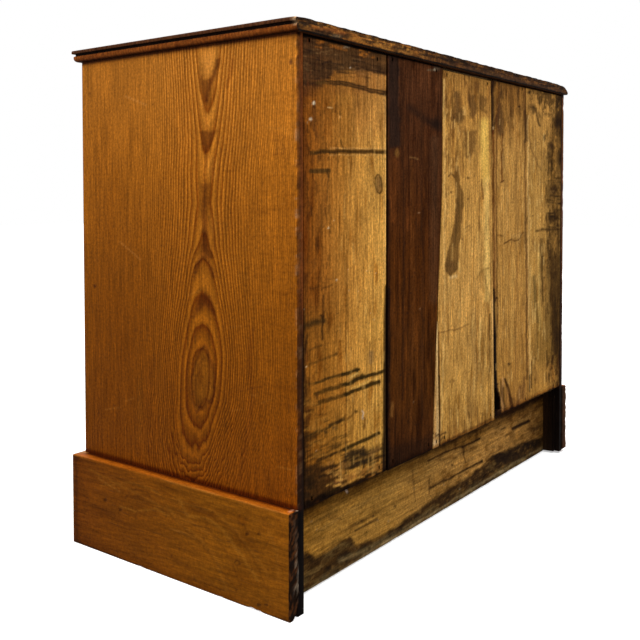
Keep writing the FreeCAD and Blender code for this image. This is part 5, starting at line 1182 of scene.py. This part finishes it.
    # painted highlight along the outer top arris
    p.mix(np.exp(-((x - 519) / 1.6) ** 2 - ((z - 154) / 2.0) ** 2) * smooth(m + 0.1, 0, 0.2), (186, 116, 44), 0.4)
    jag = 250.6 + 1.7 * fbm(np.stack([z / 9, z * 0, z * 0], 1), 57, 3)
    endc = np.maximum(smooth(y, jag, jag + 1.2), 0)
    p.mix(endc, (17, 10, 6), 0.98)
    em = fbm(np.stack([x / 3.2, z / 7, z * 0], 1), 60, 3)
    p.mix(endc * smooth(em, 0.0, 0.14) * smooth(x, 502, 505), (84, 46, 18), 0.75)
    # painted shade: the inner face, under the carcase, near black
    inner = 1 - smooth(x, 500.3, 501.5)
    p.mix(inner, (14, 8, 5), 0.98)
    p.mul((1 - smooth(z, 0.0, 1.5)), (0.4, 0.4, 0.4))
    if sign > 0:
        # the light strokes across the top at (289 to 304.5, 507.5 to 512) are a painted highlight on the end's top
        # arris, with a pale splinter
        p.marks([("l", [(297, 560), (299, 577), (298, 590)], 1.0, (110, 98, 84), 0.7), ("l", [(300.5, 552), (300, 583)], 0.8, (96, 84, 72), 0.6), ("b", (302, 568.5), (2.4, 4), (142, 102, 74), 0.75),
                 ("l", [(296, 530), (297, 548)], 0.8, (74, 62, 52), 0.6), ("l", [(293.5, 585), (295.5, 604)], 0.8, (74, 62, 52), 0.5), ("s", [(304.5, 515), (304.5, 545)], 1.6, (84, 62, 40), 0.5), ("s", [(289, 512), (296, 507.5)], 1.4, (196, 132, 96), 0.5), ("l", [(296.5, 511), (304.5, 507.6)], 1.0, (176, 146, 122), 0.7)])
        p.dashes(571, (294, 520, 304, 600), 34, (86, 62, 44), 0.6, (2, 7), (0.6, 1.2), math.pi / 2, 0.2)
        p.dashes(572, (296, 545, 303, 590), 12, (150, 128, 104), 0.55, (1, 4), (0.6, 1.0), math.pi / 2, 0.3)
    else:
        p.mix(smooth(y, 249.5, 252.5) * (0.25 + 0.75 * smooth(x, 511, 517)), (104, 70, 48), 0.8)
    rc = 0.17 + 0.25 * np.exp(-(D / 22) ** 2)
    attrs(ob, p.col, ring=R / 6.2, rc=np.clip((rc + 0.3 * warp(P, 1, 58, 300, 10)) * (1 - endc) * (1 - inner), 0, 1), dirt=np.clip(0.3 + 0.4 * smooth(m, 0, 0.3) + 0.5 * endc, 0, 1))
    wear(ob, painted("plinth_amber_" + side, "y", rough=0.44, fib=0.27, mott=0.09, light=0.5, spec=0.03, coat=0.0, tint=(0.58, 0.42, 0.26), bump=0.3, seed=2.0))
    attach(ob, "carcase"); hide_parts("plinth_return_" + side)


# ------------------------------------------------------------------ lower back rail
def back_rail():
    xs = steps(-478, 478, 3.0, 0.8)
    ys = np.array([194.5, 195.0, 195.3, 200, 206, 213.7, 214.0, 214.5])
    zs = steps(2, 151, 2.1, 0.8)
    V, F = grid_box(xs, ys, zs, 0.8)
    P = V.copy()
    # a hand-planed rail: gently uneven, its bottom edge nibbled
    P[:, 2] += np.clip(1 - (V[:, 2] - 2) / 20, 0, 1) * np.clip(fbm(np.stack([V[:, 0] / 30, V[:, 0] * 0, V[:, 0] * 0], 1), 61, 3), 0, 1) * 3.0
    P[:, 1] -= np.clip(fbm(P / np.array([120, 50, 50.0]), 62, 2) + 0.1, 0, 1) * 1.0 * (V[:, 1] > 205)
    ob = new_mesh("back_rail_wood", P, F)
    p = Paint(P, 60)
    x, y = p.x, p.y
    p.grad(P[:, 0], [(-478, (140, 100, 48)), (-250, (166, 120, 60)), (0, (166, 120, 58)), (200, (166, 120, 52)), (478, (164, 114, 42))])
    m = fbm(P / np.array([110, 40, 22.0]), 63, 4)
    p.mul(smooth(m, 0.0, 0.3), (0.80, 0.76, 0.66))
    p.mul(smooth(-m, 0.0, 0.3), (1.18, 1.15, 1.1))
    low = [(305, 551), (315, 557), (325, 552), (335, 545), (344, 540), (350, 538), (356, 545), (370, 541), (385, 535), (400, 523), (411, 515), (420, 508), (440, 494), (455, 484), (470, 475), (480, 468), (490, 458), (505, 450), (520, 443), (545, 436),
           (560, 470), (500, 500), (440, 540), (360, 590), (300, 630), (296, 560)]
    p.area(low, (50, 31, 13), 0.93, soft=2.0, wobble=2.6)
    lz = fbm(P / np.array([34, 20, 9.0]), 611, 4)
    lw = poly_sd(x, y, low)
    lowm = smooth(-lw, 0, 3)
    p.mix(lowm * smooth(lz, 0.04, 0.2), (110, 84, 44), 0.65)
    p.mix(lowm * smooth(-lz, 0.06, 0.22), (30, 19, 10), 0.75)
    l2 = fbm(P / np.array([13, 20, 6.0]), 615, 4)
    p.mix((1 - smooth(P[:, 2], 8, 24)) * smooth(fbm(P / np.array([60, 20, 12.0]), 612, 3), -0.1, 0.1), (104, 88, 56), 0.6)
    p.marks([
        ("w", [(305, 551), (315, 557), (325, 552), (335, 545), (344, 540), (350, 538), (356, 545), (370, 541), (385, 535), (400, 528), (411, 520), (420, 512), (440, 498), (455, 488), (470, 478), (480, 470), (490, 458), (505, 450)], 1.6, (60, 36, 14), 0.6),
        ("s", [(340, 560), (360, 553), (390, 538), (420, 522)], 5, (142, 120, 78), 0.4), ("s", [(308, 591), (360, 559), (440, 509), (500, 472), (545, 446)], 2.4, (146, 124, 86), 0.55),
        ("A", [(494, 456), (510, 448), (518, 450), (516, 459), (500, 466)], 3.0, (30, 18, 10), 0.9), ("A", [(514, 447), (534, 438), (545, 437), (542, 446), (524, 453)], 3.0, (34, 22, 12), 0.85), ("s", [(488, 470), (512, 460), (544, 444)], 4.0, (58, 40, 20), 0.7),
        ("l", [(355, 531), (377, 519)], 1.8, (62, 38, 16), 0.85), ("w", [(352, 526), (366, 520)], 1.2, (84, 52, 22), 0.6), ("l", [(513, 428.6), (520, 425), (528.5, 421.2)], 3.2, (44, 25, 10), 0.95), ("w", [(428, 461), (446, 452), (462, 446)], 1.9, (62, 36, 13), 0.9), ("w", [(462, 447.4), (470, 443), (479.5, 438.6)], 1.9, (52, 29, 11), 0.92), ("b", (479.5, 439), 1.3, BLACK, 0.8),
        ("w", [(430, 488), (450, 478), (466, 469), (482, 461)], 2.4, (50, 29, 10), 0.92), ("b", (482, 461), 1.4, BLACK, 0.8), ("w", [(512, 430), (520, 426)], 1.4, (64, 40, 20), 0.8), ("s", [(520, 420.6), (530, 416)], 1.6, (150, 112, 60), 0.5), ("l", [(501, 430), (505, 428)], 1.3, (56, 34, 16), 0.8),
        ("w", [(463.5, 447), (463.4, 456), (465.4, 463)], 1.3, (72, 44, 18), 0.8), ("w", [(429.5, 478), (429.2, 494)], 1.3, (76, 47, 20), 0.75), ("w", [(412.4, 466), (413.4, 484), (415, 502)], 1.2, (84, 54, 24), 0.65),
        ("b", (362, 521), 1.7, (62, 38, 18), 0.8), ("b", (373, 516), 1.5, (62, 38, 18), 0.8), ("b", (395, 506), 1.5, (62, 38, 18), 0.8), ("b", (452, 465), 1.6, (62, 38, 18), 0.8),
        ("s", [(320, 530), (360, 505), (400, 486), (440, 466)], 2.4, (172, 128, 62), 0.4), ("s", [(318, 545), (350, 527), (400, 500), (450, 476)], 1.6, (88, 56, 22), 0.5), ("s", [(310, 566), (330, 558)], 2, (70, 44, 20), 0.5),
        ("s", [(330, 575), (352, 560), (380, 545)], 2, (58, 36, 16), 0.5), ("s", [(398, 534), (430, 512), (468, 488)], 1.6, (58, 36, 16), 0.5),
        ("B", (333, 517), (9, 4), (84, 54, 22), 0.5), ("B", (410, 480), (8, 4), (92, 60, 26), 0.4), ("B", (355, 512), (5, 3), (164, 122, 60), 0.4),
        # the light line from (303, 507.6) to (310, 504.4) is a painted highlight; the one at (346, 489) is a nail end
        ("s", [(535, 430), (546, 424)], 7, (52, 34, 18), 0.6), ("l", [(303, 507.6), (310, 504.4)], 1.1, (160, 128, 100), 0.7), ("l", [(346, 489), (347.6, 493)], 1.2, (190, 168, 138), 0.8),
    ])
    l3 = fbm(P / np.array([15, 20, 7.0]), 617, 4)
    far = smooth(x, 420, 450)
    p.mul(far * smooth(l3, 0.02, 0.16), (0.62, 0.56, 0.46))
    p.mul(far * smooth(-l3, 0.03, 0.18), (1.28, 1.25, 1.16))
    p.mul((1 - far) * smooth(l3, 0.05, 0.2), (0.82, 0.78, 0.70))
    p.mix(lowm * smooth(l2, 0.06, 0.2), (112, 80, 38), 0.55)
    p.mix(lowm * smooth(-l2, 0.1, 0.24), (26, 16, 8), 0.6)
    specks(p, 64, (310, 440, 540, 585), 80, (70, 44, 18), 0.55, (0.6, 1.5))
    specks(p, 65, (310, 470, 460, 585), 20, (150, 132, 100), 0.45, (0.6, 1.2))
    # painted shadow under the back boards along the rail's top: darker, then near black
    zs0 = np.interp(P[:, 0], [-478, -100, 100, 300, 478], [112, 112, 116, 115, 112]) + 14 * fbm(np.stack([P[:, 0] / 40, P[:, 0] * 0, P[:, 0] * 0], 1), 609, 3)
    p.mul(smooth(P[:, 2], zs0 - 14, zs0 + 6), (0.56, 0.51, 0.40))
    p.mul(smooth(P[:, 2], zs0 + 6, zs0 + 20), (0.16, 0.12, 0.10))
    # darker towards the far end: painted shade under the far side, with the wood's own stain
    p.mul(1 - smooth(P[:, 0], -478, -320), (0.52, 0.49, 0.45))
    p.mul(1 - smooth(P[:, 0], -340, -180), (0.90, 0.88, 0.84))
    # near black at the near end, next to the plinth's return: painted shade with dirt
    jag = 1.6 * fbm(np.stack([P[:, 2] / 9, P[:, 2] * 0, P[:, 2] * 0], 1), 613, 3) * 2
    p.mix(smooth(P[:, 0], 469.5 + jag, 472 + jag) * smooth(P[:, 2], 6, 40), (20, 12, 7), 0.93)
    p.mix(smooth(P[:, 0], 475, 477), (20, 12, 7), 0.93)
    # a nail end, and a painted highlight along the light line at the near end
    p.marks([("l", [(345.2, 488.6), (347.2, 492.4)], 1.3, (196, 172, 156), 0.9), ("l", [(303.5, 507.4), (309.5, 505)], 1.1, (170, 140, 116), 0.8)])
    # painted shade: the rail's top, bottom and front faces darkened
    face = smooth(P[:, 1], 212.0, 213.4)
    p.mul(1 - face, (0.45, 0.42, 0.4))
    wz = P[:, 2] - 70 + 22 * warp(P, 0, 66, 300, 60)
    R = np.hypot(wz, 24 + 20 * warp(P, 0, 67, 240, 300)) + 3 * warp(P, 0, 68, 60, 10)
    attrs(ob, p.col, ring=R / 5.2, rc=np.clip(0.16 + 0.5 * warp(P, 0, 69, 400, 8), 0, 1), dirt=np.clip(0.4 + 0.5 * smooth(m, 0, 0.3), 0, 1))
    wear(ob, painted("back_rail_pine", "x", rough=0.7, fib=0.42, mott=0.22, spec=0.025, bump=0.35, tint=(0.66, 0.52, 0.36), seed=4.0))
    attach(ob, "carcase"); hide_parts("lower_back_rail")


# ------------------------------------------------------------------ top board
TOP_PROFILE = [(836.0, 9.0), (836.5, 6.4), (837.8, 4.4), (839.8, 3.0), (842.0, 2.5), (845.4, 2.5), (846.0, 3.0), (846.3, 4.6), (848.0, 5.0),
               (849.6, 4.8), (849.95, 4.2), (850.0, 0.8), (850.5, 0.1), (852.2, 0.0), (854.2, 0.1), (855.4, 0.7), (856.0, 2.2)]


def top_board():
    zs = np.array([q[0] for q in TOP_PROFILE])
    xs = np.concatenate([np.linspace(-509, -440, 40), np.linspace(-438, 438, 390), np.linspace(440, 509, 44)])
    ys = np.concatenate([np.linspace(-239.5, -86, 19), [-82, -79.5, -78, -76.5, -74], np.linspace(-66, 84, 18), [88, 90.5, 92, 93.5, 96], np.linspace(104, 240, 16), [246, 250, 253, 255.5, 257, 257.9, 258.5]])
    V, F = grid_box(xs, ys, zs)
    P = V.copy()
    inset = np.interp(V[:, 2], zs, [q[1] for q in TOP_PROFILE])
    P[:, 0] = V[:, 0] * (509 - inset) / 509
    P[:, 1] = 258.5 - (258.5 - V[:, 1]) * (498 - inset) / 498
    # the far rear corner is knocked down, the near one only rubbed
    d = np.hypot(P[:, 0] + 509, (P[:, 1] - 258.5) * 0.8)
    P[:, 2] -= 13 * np.exp(-d / 18) * (P[:, 2] - 836) / 20
    P[:, 0] += 2.0 * np.exp(-d / 10) * (V[:, 2] > 849)
    d2 = np.hypot(P[:, 0] - 509, (P[:, 1] - 258.5))
    P[:, 2] -= 1.3 * np.exp(-d2 / 9) * (P[:, 2] - 836) / 20
    # raw rear edge, sawn and a little uneven
    rear = smooth(V[:, 1], 256, 258.4)
    rag = fbm(np.stack([V[:, 0] / 22, V[:, 2] / 6, V[:, 0] * 0], 1), 121, 3)
    P[:, 1] -= rear * np.clip(0.5 + 1.8 * rag, 0, 1.6)
    P[:, 2] -= rear * (V[:, 2] > 852) * np.clip(0.35 + 2.2 * fbm(np.stack([V[:, 0] / 14, V[:, 0] * 0, V[:, 0] * 0], 1), 123, 3), 0, 1.4)
    P[:, 2] += rear * (V[:, 2] < 838) * np.clip(0.2 + 1.6 * fbm(np.stack([V[:, 0] / 18, V[:, 0] * 0 + 3, V[:, 0] * 0], 1), 124, 3), 0, 1.0)
    ob = new_mesh("top_board_wood", P, F, 42)
    p = Paint(P, 120)
    X, Y, Z = P[:, 0], P[:, 1], P[:, 2]
    m = fbm(P / np.array([170, 60, 40.0]), 125, 4)
    p.grad(m, [(-0.35, (132, 80, 34)), (0.0, (112, 64, 26)), (0.35, (84, 46, 20))])
    band = (1 - smooth(np.abs(V[:, 2] - 850), 0.2, 0.8))
    sidef = ((V[:, 0] > 508.9) | (V[:, 0] < -508.9) | (V[:, 1] < -239.4)).astype(float)
    cove = sidef * ((V[:, 2] > 845.9) & (V[:, 2] < 850.1))
    belly = sidef * (V[:, 2] <= 845.9)
    lip = sidef * (V[:, 2] > 850.1)
    p.mix(lip, (72, 41, 22), 0.88)
    p.mul(lip * smooth(V[:, 2], 853.8, 855.4), (0.6, 0.62, 0.6))
    # painted shade: the cove under the lip near black, and the lower rows of the belly dark
    p.mix(cove, (20, 11, 7), 0.94)
    p.mix(belly, (138, 73, 22), 0.9)
    p.mul(belly * (1 - smooth(V[:, 2], 836.9, 838.8)), (0.14, 0.10, 0.08))
    e = fbm(P / np.array([12, 16, 6.0]), 126, 3)
    p.mul(sidef * smooth(e, 0.0, 0.3), (0.74, 0.68, 0.62))
    p.mix(lip * smooth(e, 0.12, 0.3), (140, 88, 50), 0.55)
    near = sidef * np.exp(-((X - 507) / 10) ** 2 - ((Y - 256) / 4.5) ** 2)
    p.mix(near * (V[:, 2] > 844), (196, 160, 120), 0.75)
    under = (V[:, 2] < 836.2).astype(float)
    p.mix(under, (70, 42, 24), 0.9)
    # rear edge
    q = np.stack([X / 34, Z / 9, X * 0], 1)
    r1, r2 = fbm(q, 127, 4), fbm(q * np.array([0.5, 1.6, 1]), 128, 3)
    rp = Paint(P, 129)
    rp.grad(p.x, [(296, (62, 42, 24)), (330, (72, 46, 22)), (370, (96, 62, 26)), (410, (92, 58, 24)), (430, (70, 43, 20)), (500, (64, 40, 21)), (568, (60, 36, 20))])
    s1 = fbm(np.stack([X / 26, Z / 2.6, X * 0], 1), 127, 4)
    s2 = fbm(np.stack([X / 7, Z / 3.2, X * 0 + 4], 1), 128, 4)
    gold = np.interp(p.x, [296, 320, 345, 412, 430, 470, 568], [0.5, 0.8, 1.0, 1.0, 0.45, 0.35, 0.3])
    rp.mix(smooth(-s1, 0.0, 0.16) * gold, (158, 98, 36), 0.75)
    rp.mix(smooth(-s2, 0.08, 0.24) * gold, (184, 126, 52), 0.6)
    rp.mix(smooth(s1, 0.03, 0.2), (34, 22, 13), 0.8)
    rp.mul(smooth(s2, 0.02, 0.2), (0.5, 0.46, 0.42))
    rp.marks([
        ("s", [(312, 27), (330, 30), (345, 34)], 2.6, (150, 84, 34), 0.5), ("B", (337, 36), (6, 1.6), (112, 98, 76), 0.5), ("s", [(350, 38), (365, 41.5)], 2.2, (186, 122, 48), 0.5), ("s", [(375, 44), (386, 48.6)], 2.4, (186, 124, 50), 0.5),
        ("s", [(400, 50), (411, 54)], 2.2, (178, 118, 50), 0.5), ("s", [(420, 52), (428, 55)], 2.4, (50, 32, 20), 0.6), ("s", [(455, 64), (470, 68)], 2.0, (112, 68, 40), 0.4), ("s", [(500, 75), (530, 83)], 1.6, (104, 66, 40), 0.4),
        ("l", [(530, 82.5), (560, 90)], 0.9, (52, 32, 22), 0.6), ("B", (448, 58), (5, 2.4), (44, 28, 18), 0.6), ("B", (489, 70), (6, 2.4), (46, 30, 20), 0.5),
        ("b", (304, 26), (2, 1.6), (40, 26, 18), 0.7), ("b", (324, 31), (2.4, 1.4), (44, 28, 18), 0.6), ("b", (394, 47), (2.4, 1.8), (44, 28, 18), 0.6),
    ])
    rp.mul(smooth(V[:, 2], 853.0, 855.4), (0.42, 0.38, 0.34))
    rp.mix(np.exp(-((V[:, 2] - 841) / 1.6) ** 2) * smooth(p.x, 400, 440), (92, 62, 38), 0.4)
    # painted shadow: the lowest rows of the rear edge near black
    rp.mix(1 - smooth(V[:, 2], 838.4, 839.4), (6, 4, 3), 0.97)
    isrear = (V[:, 1] > 258.2).astype(float)[:, None]
    p.col = p.col * (1 - isrear) + rp.col * isrear
    # the top face: three boards glued up, rings of each turned another way
    b = np.digitize(Y, [-78, 92])
    pc = np.choose(b, [-170, 20, 190])
    dep = np.choose(b, [30, 55, 22])
    R = np.hypot(Y - pc + 18 * warp(P, 0, 132, 380, 90), dep + 26 * warp(P, 0, 133, 260, 400)) + 60 * b
    top = smooth(V[:, 2], 855.9, 856.0)
    p.mul(top * (b == 1), (1.1, 1.08, 1.05))
    p.mul(top * (b == 2), (0.92, 0.9, 0.88))
    for s in (-78, 92):
        p.mul(top * np.exp(-((Y - s) / 3.2) ** 2), (0.62, 0.58, 0.55))
    rim = 1 - smooth(np.minimum(509 - np.abs(X), Y + 239.5), 4, 26)
    p.mix(top * rim * smooth(e + 0.1, 0.0, 0.3), (150, 96, 46), 0.4)
    ww = fbm(P / np.array([90, 70, 50.0]), 135, 4)
    p.mul(top * smooth(ww, 0.10, 0.2), (0.80, 0.76, 0.72))
    attrs(ob, p.col, ring=R / 5.6, rc=np.clip(0.45 * (1 - isrear[:, 0]) + 0.25, 0, 1), dirt=np.clip(0.25 + 0.6 * isrear[:, 0] + 0.3 * smooth(m, 0, 0.3), 0, 1))
    wear(ob, painted("top_board_pine", "x", rough=0.48, fib=0.34, mott=0.18, spec=0.045, coat=0.0, bump=0.3, tint=(0.56, 0.42, 0.3), seed=6.0))
    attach(ob, "carcase"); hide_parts("top_board")


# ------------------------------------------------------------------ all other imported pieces
STAIN_E, STAIN_L = (0.30, 0.115, 0.018), (0.135, 0.042, 0.006)
RAW_E, RAW_L = (0.50, 0.335, 0.155), (0.33, 0.185, 0.07)
AGED_E, AGED_L = (0.34, 0.215, 0.10), (0.19, 0.10, 0.04)


def centre(node):
    lo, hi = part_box(node)
    return (lo + hi) / 2


def dress_nodes():
    def give(node, mat, bevel=0.0006, angle=32):
        ob = NODES[node]
        wear(ob, mat)
        dress(ob, bevel, angle)

    n = 0
    for name, k in (("upper_left_drawer", 1), ("upper_right_drawer", 2), ("middle_drawer", 3), ("lower_drawer", 4)):
        c = centre(name + "_front")
        knots = {1: [(0.0, c[2] + 0.03, c[0] + 0.12, 0.016)], 2: [(0.0, c[2] - 0.045, c[0] - 0.05, 0.013), (0.0, c[2] + 0.05, c[0] + 0.15, 0.009)],
                 3: [(0.0, c[2] + 0.05, -0.36, 0.017), (0.0, c[2] - 0.04, 0.10, 0.012)], 4: [(0.0, c[2] - 0.05, 0.37, 0.018), (0.0, c[2] + 0.06, -0.08, 0.014), (0.0, c[2] + 0.02, -0.40, 0.009)]}[k]
        knots = [(-0.2225, z, x, s) for (_, z, x, s) in knots]
        give(name + "_front", pine(name + "_front_wood", "x", pith=(-0.2225 + 0.03 + 0.012 * k, c[2] + (-0.02, 0.03, -0.05, 0.04)[k - 1]), spacing=0.0052, early=STAIN_E, late=STAIN_L,
                                   contrast=0.8, rough=0.44, spec=0.06, coat=0.0, knots=knots, shift=1.7 * k, stains=0.4), 0.0009, 30)
        for part, grain in (("side_left", "y"), ("side_right", "y"), ("back", "x"), ("bottom", "x")):
            c2 = centre(name + "_" + part)
            n += 1
            if part == "bottom":
                pith = (c2[1] + 0.03 * ((n % 3) - 1), c2[2] - 0.03)
            elif part == "back":
                pith = (c2[1] - 0.035, c2[2] + 0.02 * ((n % 3) - 1))
            else:
                pith = (c2[0] + (0.04 if n % 2 else -0.03), c2[2] + 0.025 * ((n % 3) - 1))
            give(name + "_" + part, pine(name + "_" + part + "_wood", grain, pith=pith, spacing=0.0048, early=RAW_E, late=RAW_L, contrast=0.55, rough=0.72, spec=0.06, shift=0.9 * n, stains=0.55, grime=0.12), 0.0005, 32)
    knob = pine("knob_wood", "y", pith=(0.0, 0.5), spacing=0.0032, early=(0.17, 0.066, 0.014), late=(0.08, 0.028, 0.006), contrast=0.7, rough=0.4, spec=0.09, coat=0.0, shift=3.3, stains=0.4, bump=0.15)
    for k in ("upper_left_knob", "upper_right_knob", "middle_knob_left", "middle_knob_right", "lower_knob_left", "lower_knob_right"):
        wear(NODES[k], knob)
        dress(NODES[k], 0.0003, 40)
    for k, s in (("top_front_rail", 5.1), ("upper_drawer_rail", 6.2), ("lower_drawer_rail", 7.3), ("bottom_rail", 8.4)):
        c = centre(k)
        give(k, pine(k + "_wood", "x", pith=(c[1] + 0.02, c[2] - 0.04), spacing=0.005, early=STAIN_E, late=STAIN_L, contrast=0.7, rough=0.46, spec=0.06, coat=0.0, shift=s))
    c = centre("centre_upright")
    give("centre_upright", pine("centre_upright_wood", "z", pith=(0.03, c[1] - 0.02), spacing=0.005, early=STAIN_E, late=STAIN_L, contrast=0.7, rough=0.46, spec=0.06, coat=0.0, shift=9.5))
    c = centre("plinth_front")
    give("plinth_front", pine("plinth_front_wood", "x", pith=(c[1] + 0.05, c[2] + 0.01), spacing=0.0055, early=STAIN_E, late=STAIN_L, contrast=0.8, rough=0.45, spec=0.06, coat=0.0, shift=10.6,
                              knots=[(-0.2325, 0.09, -0.27, 0.013), (-0.2325, 0.05, 0.34, 0.016)], stains=0.5), 0.0010)
    inner = {"bottom_board": "x", "top_back_rail": "x", "rear_cross_rail": "x", "upper_runner_left": "y", "upper_runner_right": "y", "lower_runner_left": "y", "lower_runner_right": "y", "kicker_left": "y", "kicker_right": "y",
             "centre_runner": "y", "centre_guide": "y", "centre_kicker": "y"}
    for i, (k, grain) in enumerate(inner.items()):
        c = centre(k)
        pith = (c[1] + 0.03, c[2] - 0.03) if grain == "x" else (c[0] + 0.03, c[2] - 0.03)
        give(k, pine(k + "_wood", grain, pith=pith, spacing=0.005, early=AGED_E, late=AGED_L, contrast=0.55, rough=0.78, spec=0.05, shift=14 + 1.3 * i, stains=0.6, grime=0.25))
    for i, k in enumerate(("drawer_stops", "glue_blocks")):
        give(k, pine(k + "_wood", "x", pith=(0.1, 0.05), spacing=0.004, early=AGED_E, late=AGED_L, contrast=0.5, rough=0.75, spec=0.05, shift=31 + i, stains=0.6, grime=0.3))
    wear(NODES["back_nails"], metal("nail_rust", (0.06, 0.045, 0.035), amount=0.85, rough=0.6))
    wear(NODES["top_screws"], metal("screw_steel", (0.28, 0.25, 0.22), amount=0.35, rough=0.45))
    dress(NODES["back_nails"], 0)
    dress(NODES["top_screws"], 0)


# ------------------------------------------------------------------ room
def room():
    w = bpy.data.worlds.new("room")
    scene.world = w
    w.use_nodes = True
    nt = w.node_tree
    nt.nodes["Background"].inputs[0].default_value = (1, 1, 1, 1)
    seen = nt.nodes.new("ShaderNodeLightPath")
    level = nt.nodes.new("ShaderNodeMapRange")  # white behind the object, softer as a light
    level.inputs[3].default_value = 0.42
    level.inputs[4].default_value = 1.0
    nt.links.new(seen.outputs["Is Camera Ray"], level.inputs[0])
    nt.links.new(level.outputs[0], nt.nodes["Background"].inputs[1])
    me = bpy.data.meshes.new("floor")
    s = 14.0
    me.from_pydata([(-s, -s, 0), (s, -s, 0), (s, s, 0), (-s, s, 0)], [], [(0, 1, 2, 3)])
    floor = bpy.data.objects.new("floor", me)
    floor.location = (0, 0, -0.0004)
    scene.collection.objects.link(floor)
    g = G("pale_floor")
    n = g.noise(g.obj, 3.0, 3, 0.5)
    col = g.mix(1.0, (0.93, 0.93, 0.925), g.grey(n, 0.985, 1.015), "MULTIPLY")
    m = g.out(col, 0.9, spec=0.0)
    b = [q for q in m.node_tree.nodes if q.type == "BSDF_PRINCIPLED"][0]
    b.inputs["Emission Color"].default_value = (1, 1, 1, 1)
    g.put(b.inputs["Emission Strength"], g.rng(g.vmath("LENGTH", g.obj), 1.5, 5.0, 0.42, 1.0))
    floor.visible_diffuse = False
    floor.visible_glossy = False
    wear(floor, m)

    def area(name, at, to, size, power, colour=(1, 1, 1)):
        d = bpy.data.lights.new(name, "AREA")
        d.shape = "RECTANGLE"
        d.size, d.size_y = size
        d.energy = power
        d.color = colour
        o = bpy.data.objects.new(name, d)
        o.location = at
        o.rotation_mode = "QUATERNION"
        o.rotation_quaternion = (Vector(to) - Vector(at)).to_track_quat("-Z", "Y")
        scene.collection.objects.link(o)
        return o

    area("overhead", (0.4, 0.3, 3.2), (0, 0, 0.2), (2.6, 2.6), 120)
    area("side_soft", (2.9, -0.3, 2.7), (0.4, 0.0, 0.5), (1.5, 1.5), 46)
    area("back_soft", (0.4, 2.6, 2.9), (0.0, 0.2, 0.5), (1.5, 1.5), 50)
    area("front_soft", (-1.2, -3.2, 2.6), (0.0, -0.2, 0.45), (2.0, 2.0), 44)
    scene.view_settings.view_transform = "Standard"
    scene.view_settings.look = "None"
    scene.view_settings.exposure = 0.0
    scene.view_settings.gamma = 1.0
    scene.render.film_transparent = False


side_panel(1)
side_panel(-1)
backs()
back_board("board_sliver_wood", "backboard_sliver", lerp([149.5, 300, 379], [110.2, 100.7, 94.6]), lerp([149.5, 300, 379], [85.5, 91.5, 93.2]), 149.5, 378.5, 2.4, 2.2, paint_sliver, 94, (130, 20), rc=0.3, spacing=4.0)
plinth_return(1)
plinth_return(-1)
back_rail()
top_board()
dress_nodes()
room()
